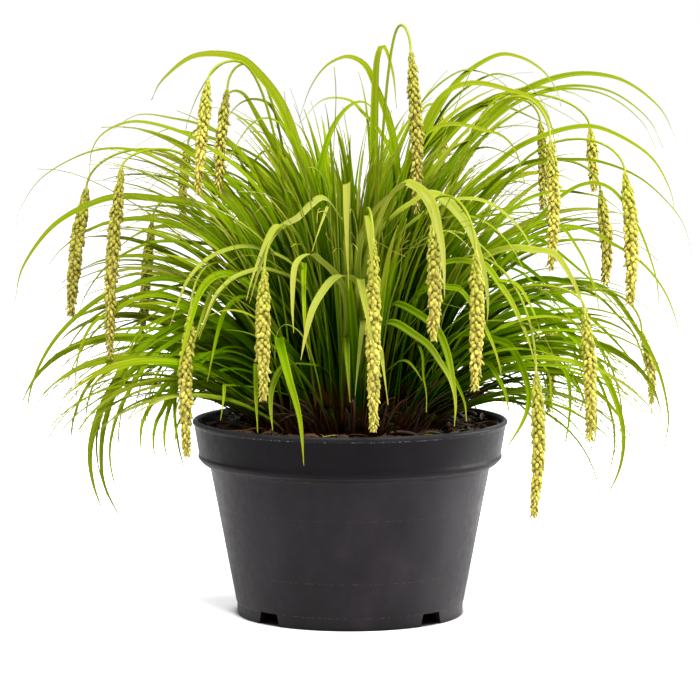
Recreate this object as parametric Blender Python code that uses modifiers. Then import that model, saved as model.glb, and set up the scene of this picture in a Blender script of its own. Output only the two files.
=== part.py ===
"""Potted pendulous sedge.

A round nursery pot filled with soil, and the clump that grows in it: a crown
of crowded leaf bases, tufts of long arching leaves, and flower stems that each
end in one hanging spike. The origin is the centre of the pot's foot on the
ground, +Z is up, and the front faces -Y. Lengths are in metres, apart from the
lists of leaves and spikes, which are in millimetres.
"""

import math
import random

import bmesh
import bpy
from mathutils import Vector

OBJECT_NAME = "potted_pendulous_sedge"
MM = 0.001
CLEARANCE = 0.0004

# The clump is drawn as it looks from the front, in the upright plane through
# the pot's axis. These two sizes say where it is looked at from, and carry a
# place seen in that plane along the line of sight to its own depth.
EYE_DISTANCE = 3.4
EYE_HEIGHT = 0.59

# Pot
POT_SEGMENTS = 36
POT_HEIGHT = 0.195
LIP_RADIUS = 0.157
LIP_DROP = 0.0035
BAND_TOP_RADIUS = 0.155
BAND_FOOT_RADIUS = 0.1503
BAND_FOOT_HEIGHT = 0.157
BODY_TOP_RADIUS = 0.139
BODY_TOP_HEIGHT = 0.148
BASE_RADIUS = 0.1125
SEAM_HEIGHT = 0.012
SEAM_STEP = 0.0012
WALL = 0.003
FLOOR_THICKNESS = 0.0025
FOOT_WIDTH = 0.005
NOTCH_COUNT = 4
NOTCH_TOP_WIDTH = 0.022
NOTCH_FOOT_WIDTH = 0.029
NOTCH_INNER_RADIUS = 0.092

# Soil and crown
SOIL_TOP = 0.183
SOIL_EDGE_RISE = 0.002
CROWN_RADIUS = 0.097
CROWN_LOBES = 16
CROWN_LOBE_DEPTH = 0.035
CROWN_SHOULDER = 0.211
CROWN_RISE = 0.016
CROWN_TOP_REACHES = (0.090, 0.062, 0.030)

# Leaves and stems
LEAN_SHARE = 0.72
BLADE_FOOT_RISE = 0.006
RISE_SHARES = (0.0, 0.45, 0.75)
FALL_SHARES = (0.0, 0.3, 0.55, 0.8, 1.0)
BLADE_KEEL = 0.26
BLADE_TIP_WIDTH = 0.0011
TUFT_REACH_OUTER = 0.082
TUFT_REACH_INNER = 0.070
BLADE_SPREAD = math.radians(0.9)
SHEATH_SIDES = 5
SHEATH_RADIUS = 0.0042
SHEATH_THROAT_RADIUS = 0.0030
SHEATH_LENGTH = 0.024
STEM_RADIUS = 0.0014
LOW_STEM_HEIGHT = 0.40
LOW_STEM_REACH = 0.076
HIGH_STEM_REACH = (0.024, 0.058)
SPIKE_RINGS = 7
SPIKE_SIDES = 5
SPIKE_SWELL = 0.16
SPIKE_END_RADIUS = 0.0009

# Flower stems as they look from the front, in millimetres: x and height of the
# stem's highest point, of the spike's top and of the spike's tip, then the
# spike's width, and how far the spike hangs behind the pot's axis.
FRONT_VIEW_SPIKES = [
    (-200, 463, -261, 423, -278, 295, 15.0, 35),
    (-188, 463, -226, 443, -239, 258, 12.5, -60),
    (-172, 415, -196, 391, -210, 271, 10.5, 95),
    (-145, 483, -160, 467, -167, 383, 9.0, 135),
    (-113, 550, -140, 530, -153, 420, 11.5, -70),
    (-103, 547, -121, 521, -131, 413, 11.0, 35),
    (-132, 351, -158, 303, -164, 161, 13.5, -95),
    (-65, 388, -85, 341, -88, 220, 14.5, -170),
    (18, 405, 23, 373, 25, 193, 14.0, -200),
    (50, 585, 60, 558, 70, 402, 12.0, -55),
    (80, 507, 90, 497, 89, 440, 8.5, 120),
    (54, 430, 83, 391, 82, 279, 14.0, -180),
    (95, 417, 125, 359, 123, 229, 14.5, -150),
    (165, 512, 188, 488, 191, 401, 10.5, 60),
    (165, 515, 198, 471, 199, 345, 12.0, -60),
    (163, 518, 237, 483, 243, 418, 10.5, 130),
    (205, 452, 248, 421, 254, 327, 12.5, 20),
    (225, 473, 272, 439, 278, 309, 14.5, -30),
    (190, 328, 233, 305, 240, 176, 12.5, -110),
    (160, 315, 196, 293, 198, 198, 10.0, 80),
    (122, 357, 185, 241, 183, 100, 13.5, -120),
    (242, 323, 290, 282, 301, 207, 9.0, 60),
]

# Flower stems behind the clump, in millimetres: azimuth in degrees, reach and
# height of the highest point and of the spike's top, then length and width.
BACK_SPIKES = [
    (72, 185, 430, 232, 385, 120, 12.0),
    (96, 200, 405, 252, 355, 115, 12.5),
    (118, 178, 455, 226, 410, 125, 12.0),
]

# Side tufts as they look from the front: azimuth in degrees, then each blade's
# x and height at its highest point and at its tip, how far it reaches past its
# tip before it hooks back, and its width, in millimetres.
SIDE_TUFTS = [
    (159.5, [(-95, 513, -155, 462, 0, 5.0), (-195, 440, -292, 330, 0, 5.0)]),
    (168.0, [(-135, 557, -196, 511, -2, 4.5), (-200, 300, -274, 151, 6, 5.0)]),
    (177.0, [(-215, 416, -333, 311, 0, 5.5), (-180, 332, -319, 179, 6, 6.0)]),
    (183.0, [(-225, 463, -329, 386, 0, 5.0), (-160, 303, -245, 97, 14, 7.5)]),
    (188.5, [(-200, 490, -258, 431, 0, 4.5), (-150, 285, -225, 86, 20, 6.0)]),
    (200.5, [(-170, 400, -262, 268, 0, 5.5), (-125, 280, -160, 134, 14, 5.0)]),
    (218.0, [(-80, 500, -140, 420, 0, 6.0), (-105, 369, -180, 285, 0, 7.0)]),
    (330.0, [(110, 480, 200, 400, 0, 5.0), (130, 365, 215, 225, 4, 6.0)]),
    (339.0, [(145, 556, 208, 500, -2, 4.5), (165, 335, 240, 190, 6, 6.0)]),
    (348.5, [(220, 485, 321, 403, 0, 5.0), (175, 283, 252, 108, 19, 6.0)]),
    (359.3, [(205, 453, 337, 350, 0, 5.0), (205, 333, 308, 147, 10, 7.5)]),
    (8.0, [(220, 537, 322, 473, -3, 5.0), (225, 351, 327, 249, 2, 5.0)]),
    (34.0, [(120, 480, 215, 395, 0, 5.0), (165, 330, 250, 165, 5, 5.5)]),
    (40.0, [(95, 530, 175, 450, 0, 5.0), (140, 380, 235, 250, 2, 6.0)]),
]

# The other tufts stand at these azimuths, and follow the rules in round_tufts.
FRONT_AZIMUTHS = [224.0, 235.0, 252.0, 260.5, 269.5, 285.0, 301.0, 323.0]
BACK_AZIMUTHS = [46.5, 59.0, 65.5, 79.0, 88.0, 103.0, 111.0, 125.0, 133.5, 147.5]
TUFT_SEED = 20

COLOURS = {
    "pot": ((0.034, 0.030, 0.037), 0.55),
    "soil": ((0.022, 0.014, 0.009), 0.95),
    "crown": ((0.110, 0.050, 0.016), 0.80),
    "leaf": ((0.180, 0.300, 0.030), 0.50),
    "spike": ((0.560, 0.500, 0.160), 0.70),
}


def clear_scene():
    """Empty the scene, and drop what earlier runs left in it."""
    for item in list(bpy.data.objects):
        bpy.data.objects.remove(item, do_unlink=True)
    for group in list(bpy.data.collections):
        bpy.data.collections.remove(group)


def new_collection(name):
    group = bpy.data.collections.new(name)
    bpy.context.scene.collection.children.link(group)
    return group


def new_material(name):
    colour, roughness = COLOURS[name]
    material = bpy.data.materials.new(name)
    material.use_nodes = True
    shader = material.node_tree.nodes["Principled BSDF"]
    shader.inputs["Base Color"].default_value = (*colour, 1.0)
    shader.inputs["Roughness"].default_value = roughness
    shader.inputs["Metallic"].default_value = 0.0
    return material


def new_object(name, mesh, collection, material=None):
    item = bpy.data.objects.new(name, mesh)
    collection.objects.link(item)
    if material is not None:
        mesh.materials.append(material)
    return item


def profile_mesh(name, outline):
    """An open line of (radius, height) points, ready to be turned."""
    mesh = bpy.data.meshes.new(name)
    points = [(radius, 0.0, height) for radius, height in outline]
    edges = [(i, i + 1) for i in range(len(points) - 1)]
    mesh.from_pydata(points, edges, [])
    return mesh


def turn(item):
    """Turn a profile about +Z into a closed body."""
    screw = item.modifiers.new("turn", "SCREW")
    screw.axis = "Z"
    screw.angle = math.tau
    screw.steps = POT_SEGMENTS
    screw.render_steps = POT_SEGMENTS
    screw.use_merge_vertices = True
    screw.merge_threshold = 0.00001
    screw.use_smooth_shade = True


def loft(name, rings):
    """A closed mesh through rings of points that all have as many corners."""
    shape = bmesh.new()
    loops = [[shape.verts.new(point) for point in ring] for ring in rings]
    for lower, upper in zip(loops, loops[1:]):
        for i in range(len(lower)):
            j = (i + 1) % len(lower)
            shape.faces.new((lower[i], lower[j], upper[j], upper[i]))
    shape.faces.new(list(reversed(loops[0])))
    shape.faces.new(loops[-1])
    bmesh.ops.recalc_face_normals(shape, faces=shape.faces)
    mesh = bpy.data.meshes.new(name)
    shape.to_mesh(mesh)
    shape.free()
    return mesh


def wall_inside(height):
    """Radius of the pot's inner wall at a height above its step."""
    low = BAND_FOOT_RADIUS - WALL
    high = BAND_TOP_RADIUS - WALL
    share = (height - BAND_FOOT_HEIGHT) / (POT_HEIGHT - BAND_FOOT_HEIGHT)
    return low + (high - low) * share


def pot_outline():
    """The pot's wall, up its inside, over the lip and down its outside."""
    floor_radius = BASE_RADIUS - WALL
    inside = [
        (0.0, SEAM_HEIGHT),
        (floor_radius, SEAM_HEIGHT),
        (BODY_TOP_RADIUS - WALL, BODY_TOP_HEIGHT),
        (wall_inside(BAND_FOOT_HEIGHT), BAND_FOOT_HEIGHT),
        (wall_inside(POT_HEIGHT), POT_HEIGHT),
    ]
    band = [
        (BAND_TOP_RADIUS + 0.0004, POT_HEIGHT),
        (LIP_RADIUS, POT_HEIGHT - LIP_DROP),
        (BAND_TOP_RADIUS, POT_HEIGHT - 2.0 * LIP_DROP),
        (BAND_FOOT_RADIUS, BAND_FOOT_HEIGHT + 0.003),
        (BAND_FOOT_RADIUS + 0.0008, BAND_FOOT_HEIGHT),
        (BAND_FOOT_RADIUS - 0.003, BAND_FOOT_HEIGHT - 0.006),
        (BODY_TOP_RADIUS + 0.0006, BODY_TOP_HEIGHT),
    ]
    foot = [
        (BASE_RADIUS + SEAM_STEP, SEAM_HEIGHT + 0.001),
        (BASE_RADIUS + 0.0003, SEAM_HEIGHT - 0.001),
        (BASE_RADIUS, 0.0),
        (BASE_RADIUS - FOOT_WIDTH, 0.0),
        (BASE_RADIUS - FOOT_WIDTH - 0.001, SEAM_HEIGHT - FLOOR_THICKNESS),
        (0.0, SEAM_HEIGHT - FLOOR_THICKNESS),
    ]
    return inside + band + foot


def notch_cutter(index, cutters):
    """A wedge that opens one drain notch through the foot and the floor's edge."""
    outer = BASE_RADIUS + 0.006
    length = outer - NOTCH_INNER_RADIUS
    shape = bmesh.new()
    bmesh.ops.create_cube(shape, size=1.0)
    for corner in shape.verts:
        on_top = corner.co.z > 0.0
        width = NOTCH_TOP_WIDTH if on_top else NOTCH_FOOT_WIDTH
        corner.co.x = NOTCH_INNER_RADIUS + length * (corner.co.x + 0.5)
        corner.co.y *= width
        corner.co.z = SEAM_HEIGHT + 0.0006 if on_top else -0.001
    mesh = bpy.data.meshes.new(f"notch_{index}")
    shape.to_mesh(mesh)
    shape.free()
    cutter = new_object(f"notch_{index}", mesh, cutters)
    cutter.rotation_euler.z = math.radians(45.0 + 360.0 / NOTCH_COUNT * index)
    cutter.hide_render = True
    cutter.display_type = "WIRE"
    return cutter


def make_pot(parts, cutters):
    mesh = profile_mesh("pot", pot_outline())
    pot = new_object("pot", mesh, parts, new_material("pot"))
    turn(pot)
    for index in range(NOTCH_COUNT):
        cut = pot.modifiers.new(f"notch_{index}", "BOOLEAN")
        cut.operation = "DIFFERENCE"
        cut.solver = "EXACT"
        cut.object = notch_cutter(index, cutters)
    return pot


def make_soil(parts):
    """The root ball, which fills the pot up to a little under its lip."""
    edge_height = SOIL_TOP + SOIL_EDGE_RISE
    outline = [
        (0.0, SOIL_TOP),
        (CROWN_RADIUS + 0.012, SOIL_TOP),
        (wall_inside(edge_height) - CLEARANCE, edge_height),
        (wall_inside(BAND_FOOT_HEIGHT) - CLEARANCE, BAND_FOOT_HEIGHT + CLEARANCE),
        (BODY_TOP_RADIUS - WALL - CLEARANCE, BODY_TOP_HEIGHT + CLEARANCE),
        (BASE_RADIUS - WALL - 2.0 * CLEARANCE, SEAM_HEIGHT + CLEARANCE),
        (0.0, SEAM_HEIGHT + CLEARANCE),
    ]
    soil = new_object("soil", profile_mesh("soil", outline), parts, new_material("soil"))
    turn(soil)
    return soil


def crown_height(reach):
    """Height of the crown's rounded top at a distance from the axis."""
    return CROWN_SHOULDER + CROWN_RISE * (1.0 - (reach / CROWN_RADIUS) ** 2)


def crown_ring(radius, height, lobe_depth):
    """One ring of the crown, its side fluted where leaf bases bulge out."""
    corners = 2 * CROWN_LOBES
    ring = []
    for i in range(corners):
        angle = math.tau * i / corners
        reach = radius * (1.0 + lobe_depth * math.cos(CROWN_LOBES * angle))
        ring.append((reach * math.cos(angle), reach * math.sin(angle), height))
    return ring


def make_crown(parts):
    side = [
        crown_ring(CROWN_RADIUS * 0.90, SOIL_TOP + CLEARANCE, CROWN_LOBE_DEPTH),
        crown_ring(CROWN_RADIUS * 0.97, SOIL_TOP + 0.015, CROWN_LOBE_DEPTH),
        crown_ring(CROWN_RADIUS, CROWN_SHOULDER - 0.002, CROWN_LOBE_DEPTH),
    ]
    top = [crown_ring(reach, crown_height(reach), 0.0) for reach in CROWN_TOP_REACHES]
    mesh = loft("crown", side + top)
    return new_object("crown", mesh, parts, new_material("crown"))


def cubic(start, leave, arrive, end, share):
    """A point on a cubic Bezier curve."""
    rest = 1.0 - share
    return (
        start * rest**3
        + leave * (3.0 * rest * rest * share)
        + arrive * (3.0 * rest * share * share)
        + end * share**3
    )


def rising_line(foot, apex):
    """From a foot on the crown up to the highest point, as (reach, height)."""
    climb = apex - foot
    lean = LEAN_SHARE * math.atan2(climb.x, climb.y)
    leave = foot + 0.42 * climb.length * Vector((math.sin(lean), math.cos(lean)))
    arrive = apex - Vector((0.52 * climb.x, 0.0))
    return [cubic(foot, leave, arrive, apex, share) for share in RISE_SHARES]


def falling_line(apex, tip, hook):
    """From the highest point down to the tip, which can hook back inward."""
    fall = apex.y - tip.y
    leave = apex + Vector((0.62 * (tip.x + hook - apex.x), 0.0))
    arrive = tip + Vector((1.33 * hook, 0.48 * fall))
    return [cubic(apex, leave, arrive, tip, share) for share in FALL_SHARES]


def out_of_plane(point, azimuth):
    """A (reach, height) point of an upright plane at an azimuth, in space."""
    return Vector((point.x * math.cos(azimuth), point.x * math.sin(azimuth), point.y))


def seen_at_depth(x, height, depth):
    """Move a place seen in the axis plane along the line of sight to a depth."""
    scale = (EYE_DISTANCE + depth) / EYE_DISTANCE
    return Vector((x * scale, depth, EYE_HEIGHT - (EYE_HEIGHT - height) * scale))


def seen_in_plane(x, height, azimuth):
    """The (reach, height) in an upright plane of a place seen in the axis plane."""
    slope = math.tan(azimuth)
    true_x = x / (1.0 - x * slope / EYE_DISTANCE)
    place = seen_at_depth(x, height, true_x * slope)
    return Vector((true_x / math.cos(azimuth), place.z))


def headings(path):
    """The unit direction of a path at each of its points."""
    result = []
    for i in range(len(path)):
        before = path[max(i - 1, 0)]
        after = path[min(i + 1, len(path) - 1)]
        result.append((after - before).normalized())
    return result


def blade_width(share, width):
    """A blade is narrow at its foot, widest at a quarter, and ends in a thread."""
    foot = 0.55 + 0.45 * min(share / 0.25, 1.0)
    taper = 1.0 - max(share - 0.3, 0.0) / 0.7
    return max(width * foot * taper**0.8, BLADE_TIP_WIDTH)


def blade_rings(foot, apex, tip, hook, width, azimuth):
    """Three-cornered rings along a blade: two edges and a keel under them."""
    line = rising_line(foot, apex) + falling_line(apex, tip, hook)
    path = [out_of_plane(point, azimuth) for point in line]
    side = Vector((-math.sin(azimuth), math.cos(azimuth), 0.0))
    rings = []
    for i, heading in enumerate(headings(path)):
        across = blade_width(i / (len(path) - 1), width)
        over = heading.cross(side)
        edge = 0.35 * BLADE_KEEL * across * over
        rings.append([
            path[i] + 0.5 * across * side + edge,
            path[i] - 0.5 * across * side + edge,
            path[i] - BLADE_KEEL * across * over,
        ])
    return rings


def foot_ring(reach, azimuth, radius, corners):
    """A ring that stands on the crown's rounded top, all round its edge."""
    centre = out_of_plane(Vector((reach, 0.0)), azimuth)
    ring = []
    for i in range(corners):
        angle = azimuth + math.tau * i / corners
        x = centre.x + radius * math.cos(angle)
        y = centre.y + radius * math.sin(angle)
        ring.append(Vector((x, y, crown_height(math.hypot(x, y)) + CLEARANCE)))
    return ring


def round_ring(centre, heading, side, radius, corners, turn_by=0.0):
    """A ring of corners about a path, across its heading."""
    out = side.cross(heading)
    ring = []
    for i in range(corners):
        angle = turn_by + math.tau * i / corners
        ring.append(centre + radius * (math.cos(angle) * out + math.sin(angle) * side))
    return ring


def sheath_mesh(name, reach, azimuth, lean):
    """The short folded sheath that holds one tuft's blades together."""
    side = Vector((-math.sin(azimuth), math.cos(azimuth), 0.0))
    rise = Vector((math.sin(lean), math.cos(lean)))
    heading = out_of_plane(rise, azimuth)
    foot = Vector((reach, crown_height(reach)))
    throat = out_of_plane(foot + SHEATH_LENGTH * rise, azimuth)
    rings = [
        foot_ring(reach, azimuth, SHEATH_RADIUS, SHEATH_SIDES),
        round_ring(throat, heading, side, SHEATH_THROAT_RADIUS, SHEATH_SIDES),
    ]
    return loft(name, rings)


def make_tuft(index, azimuth_deg, blades, parts, cutters, material):
    """One shoot: a sheath on the crown, joined to the blades that leave it.

    Each blade is (highest point, tip, hook, width) in its upright plane.
    """
    name = f"leaf_tuft_{index:02d}"
    azimuth = math.radians(azimuth_deg)
    reach = TUFT_REACH_OUTER if index % 2 else TUFT_REACH_INNER
    leans = []
    rings_of = []
    for number, (apex, tip, hook, width) in enumerate(blades):
        foot = Vector((reach, crown_height(reach) + BLADE_FOOT_RISE))
        climb = apex - foot
        leans.append(LEAN_SHARE * math.atan2(climb.x, climb.y))
        aside = BLADE_SPREAD * (number - 0.5 * (len(blades) - 1))
        rings_of.append(blade_rings(foot, apex, tip, hook, width, azimuth + aside))
    sheath = sheath_mesh(name, reach, azimuth, sum(leans) / len(leans))
    tuft = new_object(name, sheath, parts, material)
    for number, rings in enumerate(rings_of):
        mesh = loft(f"{name}_blade_{number}", rings)
        blade = new_object(f"{name}_blade_{number}", mesh, cutters)
        blade.hide_render = True
        blade.display_type = "WIRE"
        join = tuft.modifiers.new(f"blade_{number}", "BOOLEAN")
        join.operation = "UNION"
        join.solver = "EXACT"
        join.object = blade
    return tuft


def spike_radius(share, width):
    """Thick near its top and middle, thin at both ends, and knobbly all along."""
    body = math.sin(math.pi * (0.12 + 0.80 * share)) ** 0.45
    taper = 1.0 - 0.38 * share
    return 0.5 * width * body * taper


def make_flower_stem(index, azimuth, apex, top, tip, width, parts, material):
    """A stem that climbs, bows over and ends in one hanging spike."""
    if apex.y < LOW_STEM_HEIGHT:
        reach = LOW_STEM_REACH
    else:
        reach = min(max(0.3 * apex.x, HIGH_STEM_REACH[0]), HIGH_STEM_REACH[1])
    foot = Vector((reach, crown_height(reach)))
    line = rising_line(foot, apex) + falling_line(apex, top, 0.0)
    side = Vector((-math.sin(azimuth), math.cos(azimuth), 0.0))
    path = [out_of_plane(point, azimuth) for point in line]
    stem_ways = headings(path)
    rings = [foot_ring(reach, azimuth, STEM_RADIUS * 1.5, SPIKE_SIDES)]
    for i in range(1, len(path)):
        rings.append(round_ring(path[i], stem_ways[i], side, STEM_RADIUS, SPIKE_SIDES))
    hang = out_of_plane(tip - top, azimuth)
    down = hang.normalized()
    for i in range(SPIKE_RINGS):
        share = (i + 0.6) / (SPIKE_RINGS - 0.4)
        swell = 1.0 + SPIKE_SWELL * (1.0 if i % 2 else -1.0)
        radius = spike_radius(share, width) * swell
        twist = 0.5 * math.tau / SPIKE_SIDES * (i % 2)
        centre = path[-1] + share * hang
        rings.append(round_ring(centre, down, side, radius, SPIKE_SIDES, twist))
    rings.append(round_ring(path[-1] + hang, down, side, SPIKE_END_RADIUS, SPIKE_SIDES))
    name = f"flower_stem_{index:02d}"
    return new_object(name, loft(name, rings), parts, material)


def make_flower_stems(parts):
    material = new_material("spike")
    index = 0
    for apex_x, apex_z, top_x, top_z, tip_x, tip_z, width, depth in FRONT_VIEW_SPIKES:
        index += 1
        place = seen_at_depth(top_x * MM, top_z * MM, depth * MM)
        azimuth = math.atan2(place.y, place.x)
        apex = seen_in_plane(apex_x * MM, apex_z * MM, azimuth)
        top = Vector((math.hypot(place.x, place.y), place.z))
        outward = (tip_x - top_x) * MM * math.cos(azimuth)
        tip = top + Vector((outward, (tip_z - top_z) * MM))
        make_flower_stem(index, azimuth, apex, top, tip, width * MM, parts, material)
    for azimuth_deg, apex_r, apex_z, top_r, top_z, length, width in BACK_SPIKES:
        index += 1
        apex = Vector((apex_r, apex_z)) * MM
        top = Vector((top_r, top_z)) * MM
        tip = top - Vector((-0.006, length * MM))
        azimuth = math.radians(azimuth_deg)
        make_flower_stem(index, azimuth, apex, top, tip, width * MM, parts, material)


def side_tufts():
    """The side tufts' blades, carried from the front view into their planes."""
    for azimuth_deg, rows in SIDE_TUFTS:
        azimuth = math.radians(azimuth_deg)
        blades = []
        for apex_x, apex_z, tip_x, tip_z, hook, width in rows:
            apex = seen_in_plane(apex_x * MM, apex_z * MM, azimuth)
            tip = seen_in_plane(tip_x * MM, tip_z * MM, azimuth)
            blades.append((apex, tip, hook * MM, width * MM))
        yield azimuth_deg, blades


def round_tufts():
    """Tufts in front and behind: a high blade, a long one and, at some, a low one."""
    draw = random.Random(TUFT_SEED)
    for number, azimuth_deg in enumerate(FRONT_AZIMUTHS + BACK_AZIMUTHS):
        has_low = azimuth_deg < 180.0 and number % 2 == 0
        high = (
            Vector((draw.uniform(0.095, 0.140), draw.uniform(0.475, 0.540))),
            Vector((draw.uniform(0.185, 0.235), draw.uniform(0.390, 0.440))),
            0.0,
            draw.uniform(0.0050, 0.0065),
        )
        long = (
            Vector((draw.uniform(0.150, 0.190), draw.uniform(0.360, 0.420))),
            Vector((draw.uniform(0.270, 0.300), draw.uniform(0.245, 0.300))),
            0.0,
            draw.uniform(0.0055, 0.0075),
        )
        low = (
            Vector((draw.uniform(0.145, 0.165), draw.uniform(0.270, 0.310))),
            Vector((draw.uniform(0.235, 0.285), draw.uniform(0.130, 0.190))),
            0.008,
            draw.uniform(0.0050, 0.0065),
        )
        yield azimuth_deg, [high, long, low] if has_low else [high, long]


def make_leaf_tufts(parts, cutters):
    material = new_material("leaf")
    tufts = list(side_tufts()) + list(round_tufts())
    for index, (azimuth_deg, blades) in enumerate(tufts, start=1):
        make_tuft(index, azimuth_deg, blades, parts, cutters, material)


def main():
    clear_scene()
    parts = new_collection(OBJECT_NAME)
    cutters = new_collection("cutters")
    make_pot(parts, cutters)
    make_soil(parts)
    make_crown(parts)
    make_flower_stems(parts)
    make_leaf_tufts(parts, cutters)


main()
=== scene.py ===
"""Looks of the potted pendulous sedge: a dusty black nursery pot, dark soil with
dry litter, a crown of red-brown shoot bases, hundreds of arching leaves and
the hanging flower spikes. Lengths are in metres, apart from the lists of
leaves and spikes, which are in millimetres as seen from the front, in the
upright plane through the pot's axis.
"""
import math

import bpy
import numpy as np
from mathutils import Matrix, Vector


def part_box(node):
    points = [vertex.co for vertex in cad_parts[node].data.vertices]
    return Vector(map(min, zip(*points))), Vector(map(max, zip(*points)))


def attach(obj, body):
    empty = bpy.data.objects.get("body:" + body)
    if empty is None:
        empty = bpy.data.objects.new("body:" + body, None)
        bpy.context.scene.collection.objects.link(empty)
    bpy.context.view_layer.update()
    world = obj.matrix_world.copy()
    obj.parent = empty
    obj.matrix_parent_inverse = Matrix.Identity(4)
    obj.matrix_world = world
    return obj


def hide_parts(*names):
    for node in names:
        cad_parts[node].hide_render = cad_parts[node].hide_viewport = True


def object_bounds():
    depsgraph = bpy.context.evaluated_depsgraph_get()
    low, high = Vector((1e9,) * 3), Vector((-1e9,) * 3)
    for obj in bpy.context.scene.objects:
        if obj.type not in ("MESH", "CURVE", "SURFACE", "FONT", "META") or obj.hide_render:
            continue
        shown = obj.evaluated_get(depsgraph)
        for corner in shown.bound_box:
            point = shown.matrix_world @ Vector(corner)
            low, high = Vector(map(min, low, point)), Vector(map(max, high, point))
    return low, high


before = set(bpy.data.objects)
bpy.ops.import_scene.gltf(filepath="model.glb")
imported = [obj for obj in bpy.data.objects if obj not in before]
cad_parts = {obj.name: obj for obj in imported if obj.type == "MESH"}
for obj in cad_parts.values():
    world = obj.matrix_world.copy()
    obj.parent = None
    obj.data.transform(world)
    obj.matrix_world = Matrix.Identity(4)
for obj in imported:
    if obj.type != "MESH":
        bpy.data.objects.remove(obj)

cad_low, cad_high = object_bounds()

MM = 0.001
UP = np.array([0.0, 0.0, 1.0])
FULL_TURN = 2 * math.pi
WHITE = (1.0, 1.0, 1.0)

# The photo's view
EYE_DISTANCE = 3.4
EYE_HEIGHT = 0.59
CAMERA_HEIGHT = 0.60
AIM_HEIGHT = 0.2632
FRAME_WIDTH_AT_AXIS = 0.696
SENSOR_WIDTH = 36.0

# Lights: name, place, height they aim at on the axis, size, power and colour
LIGHTS = [
    ("key", (0.30, -1.60, 2.75), 0.3, 1.0, 300.0, (1.0, 0.99, 0.95)),
    ("left_fill", (-1.7, -1.1, 2.8), 0.4, 1.2, 96.0, WHITE),
    ("right_fill", (2.4, 0.4, 0.5), 0.1, 1.4, 180.0, WHITE),
    ("back_fill", (1.1, 2.5, 1.9), 0.3, 1.4, 100.0, WHITE),
]
FLOOR_CORNERS = [(-9, -6, 0), (9, -6, 0), (9, 14, 0), (-9, 14, 0)]

# Pot, soil and crown, as in the solids
POT_STEPS = 240
INSIDE_FOOT = (0.11, 0.015)
INSIDE_SHOULDER = (0.136, 0.146)
WALL_FOOT = (0.1473, 0.157)
WALL_TOP = (0.152, 0.195)
LIP_UNDERSIDE = (0.1550, 0.1880)
BAND_FOOT = (0.1507, 0.1615)
BODY_TOP = (0.1393, 0.1465)
BODY_FOOT = (0.1138, 0.0136)
NOTCH_INNER_RADIUS = 0.092
NOTCH_OUTER_RADIUS = 0.1185
NOTCH_TOP_WIDTH = 0.022
NOTCH_FOOT_WIDTH = 0.029
NOTCH_HEIGHT = 0.0126
SOIL_TOP = 0.183
CROWN_RADIUS = 0.097
CROWN_SHOULDER = 0.211
CROWN_RISE = 0.016

# Marks on the pot: where the darker band starts, the level and half width of
# the mould's lines, and those of the line of painted glints under the lip
BAND_START = 0.1535
MOULD_LINES = [(0.0125, 0.0007), (0.0470, 0.0004), (0.1100, 0.0003), (0.1490, 0.0010)]
BRIGHT_LINE = (0.1897, 0.0005)

# What lies on the soil, and how near to the wall
CRUMBS = 900
LITTER_SHREDS = 300
LITTER_SAMPLES = 9
LITTER_REACH = 0.1475
SOIL_STEPS = 160
SOIL_WAVES = 60
SOIL_GAP = 0.0005

# Leaf and stem paths, as in the solids
LEAN_SHARE = 0.72
FIRST_PULL = 0.42
STEM_RADIUS = 0.0014
LOW_STEM_HEIGHT = 0.40
LOW_STEM_REACH = 0.076
HIGH_STEM_REACH = (0.024, 0.058)

# The mass of the clump. A leaf's length goes by its lean at the foot, in
# radians. Parting turns the leaves that head for the front to both sides.
# The feet are heights, and the keel is the rib under each blade.
SHOOTS = 190
LEAVES_PER_SHOOT = 9
LEANS = (0.0, 0.25, 0.55, 0.85, 1.10)
LENGTHS = (0.425, 0.475, 0.440, 0.370, 0.310)
PARTING = 0.50
WISPS = 110
DEAD_LEAVES = 170
LEAF_FEET = (0.184, 0.192)
WISP_FEET = 0.19
DEAD_LEAF_FEET = 0.186
KEEL_SHARE = 0.06
LEAST_KEEL = 0.00018
LEAST_WIDTH = 0.0008
LEAF_SAMPLES = 24
ALONG_LEAF = np.linspace(0, 1, LEAF_SAMPLES)
SHOOT_SEED = 7
CLUMP_SPREAD = (0.318, 0.282, 0.566)
# The centre and scales of the painted shade in the heart of the clump
HEART = (0.014, 0.0, 0.228)
HEART_SCALE = (3.4, 3.4, 3.0)

# Where no leaf of the mass goes: the radii and top of the ring of space round
# the lip, beyond the solids' box by more than a little, and before the pot,
# given by its half width and its top in the front view
LIP_SPACE = (0.11, 0.1625, 0.2015)
BOX_SLACK = 0.004
POT_IN_VIEW = (0.158, 0.190)

# The leaves that stand out: where on the crown they start, then, as in their
# list, the widest, how broad one is that the mass doesn't cross before, and
# how far in front of the axis its tip is
SEEN_SAMPLES = 90
HIDDEN_SAMPLES = 41
FOLLOWERS = 2
FOOT_HEIGHT = 0.205
FOOT_ACROSS = (-0.062, 0.062)
FOOT_DEPTH = (-0.060, 0.050)
WIDEST = 11.5
BROAD = 5.4
WELL_FORWARD = -100

# Spikes: a core in scales, bowed outward by a little
TUBE_CORNERS = 8
SPIKE_SAMPLES = 26
SPIKE_BOW = (0.001, 0.0045)
CORE_SHARE = 0.60
LEAST_CORE = 0.0006
SCALE_PITCH = 0.0062
SCALE_COLUMNS = 5
RIPE_SPIKES = (1, 2, 3, 4, 10, 11)

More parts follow.
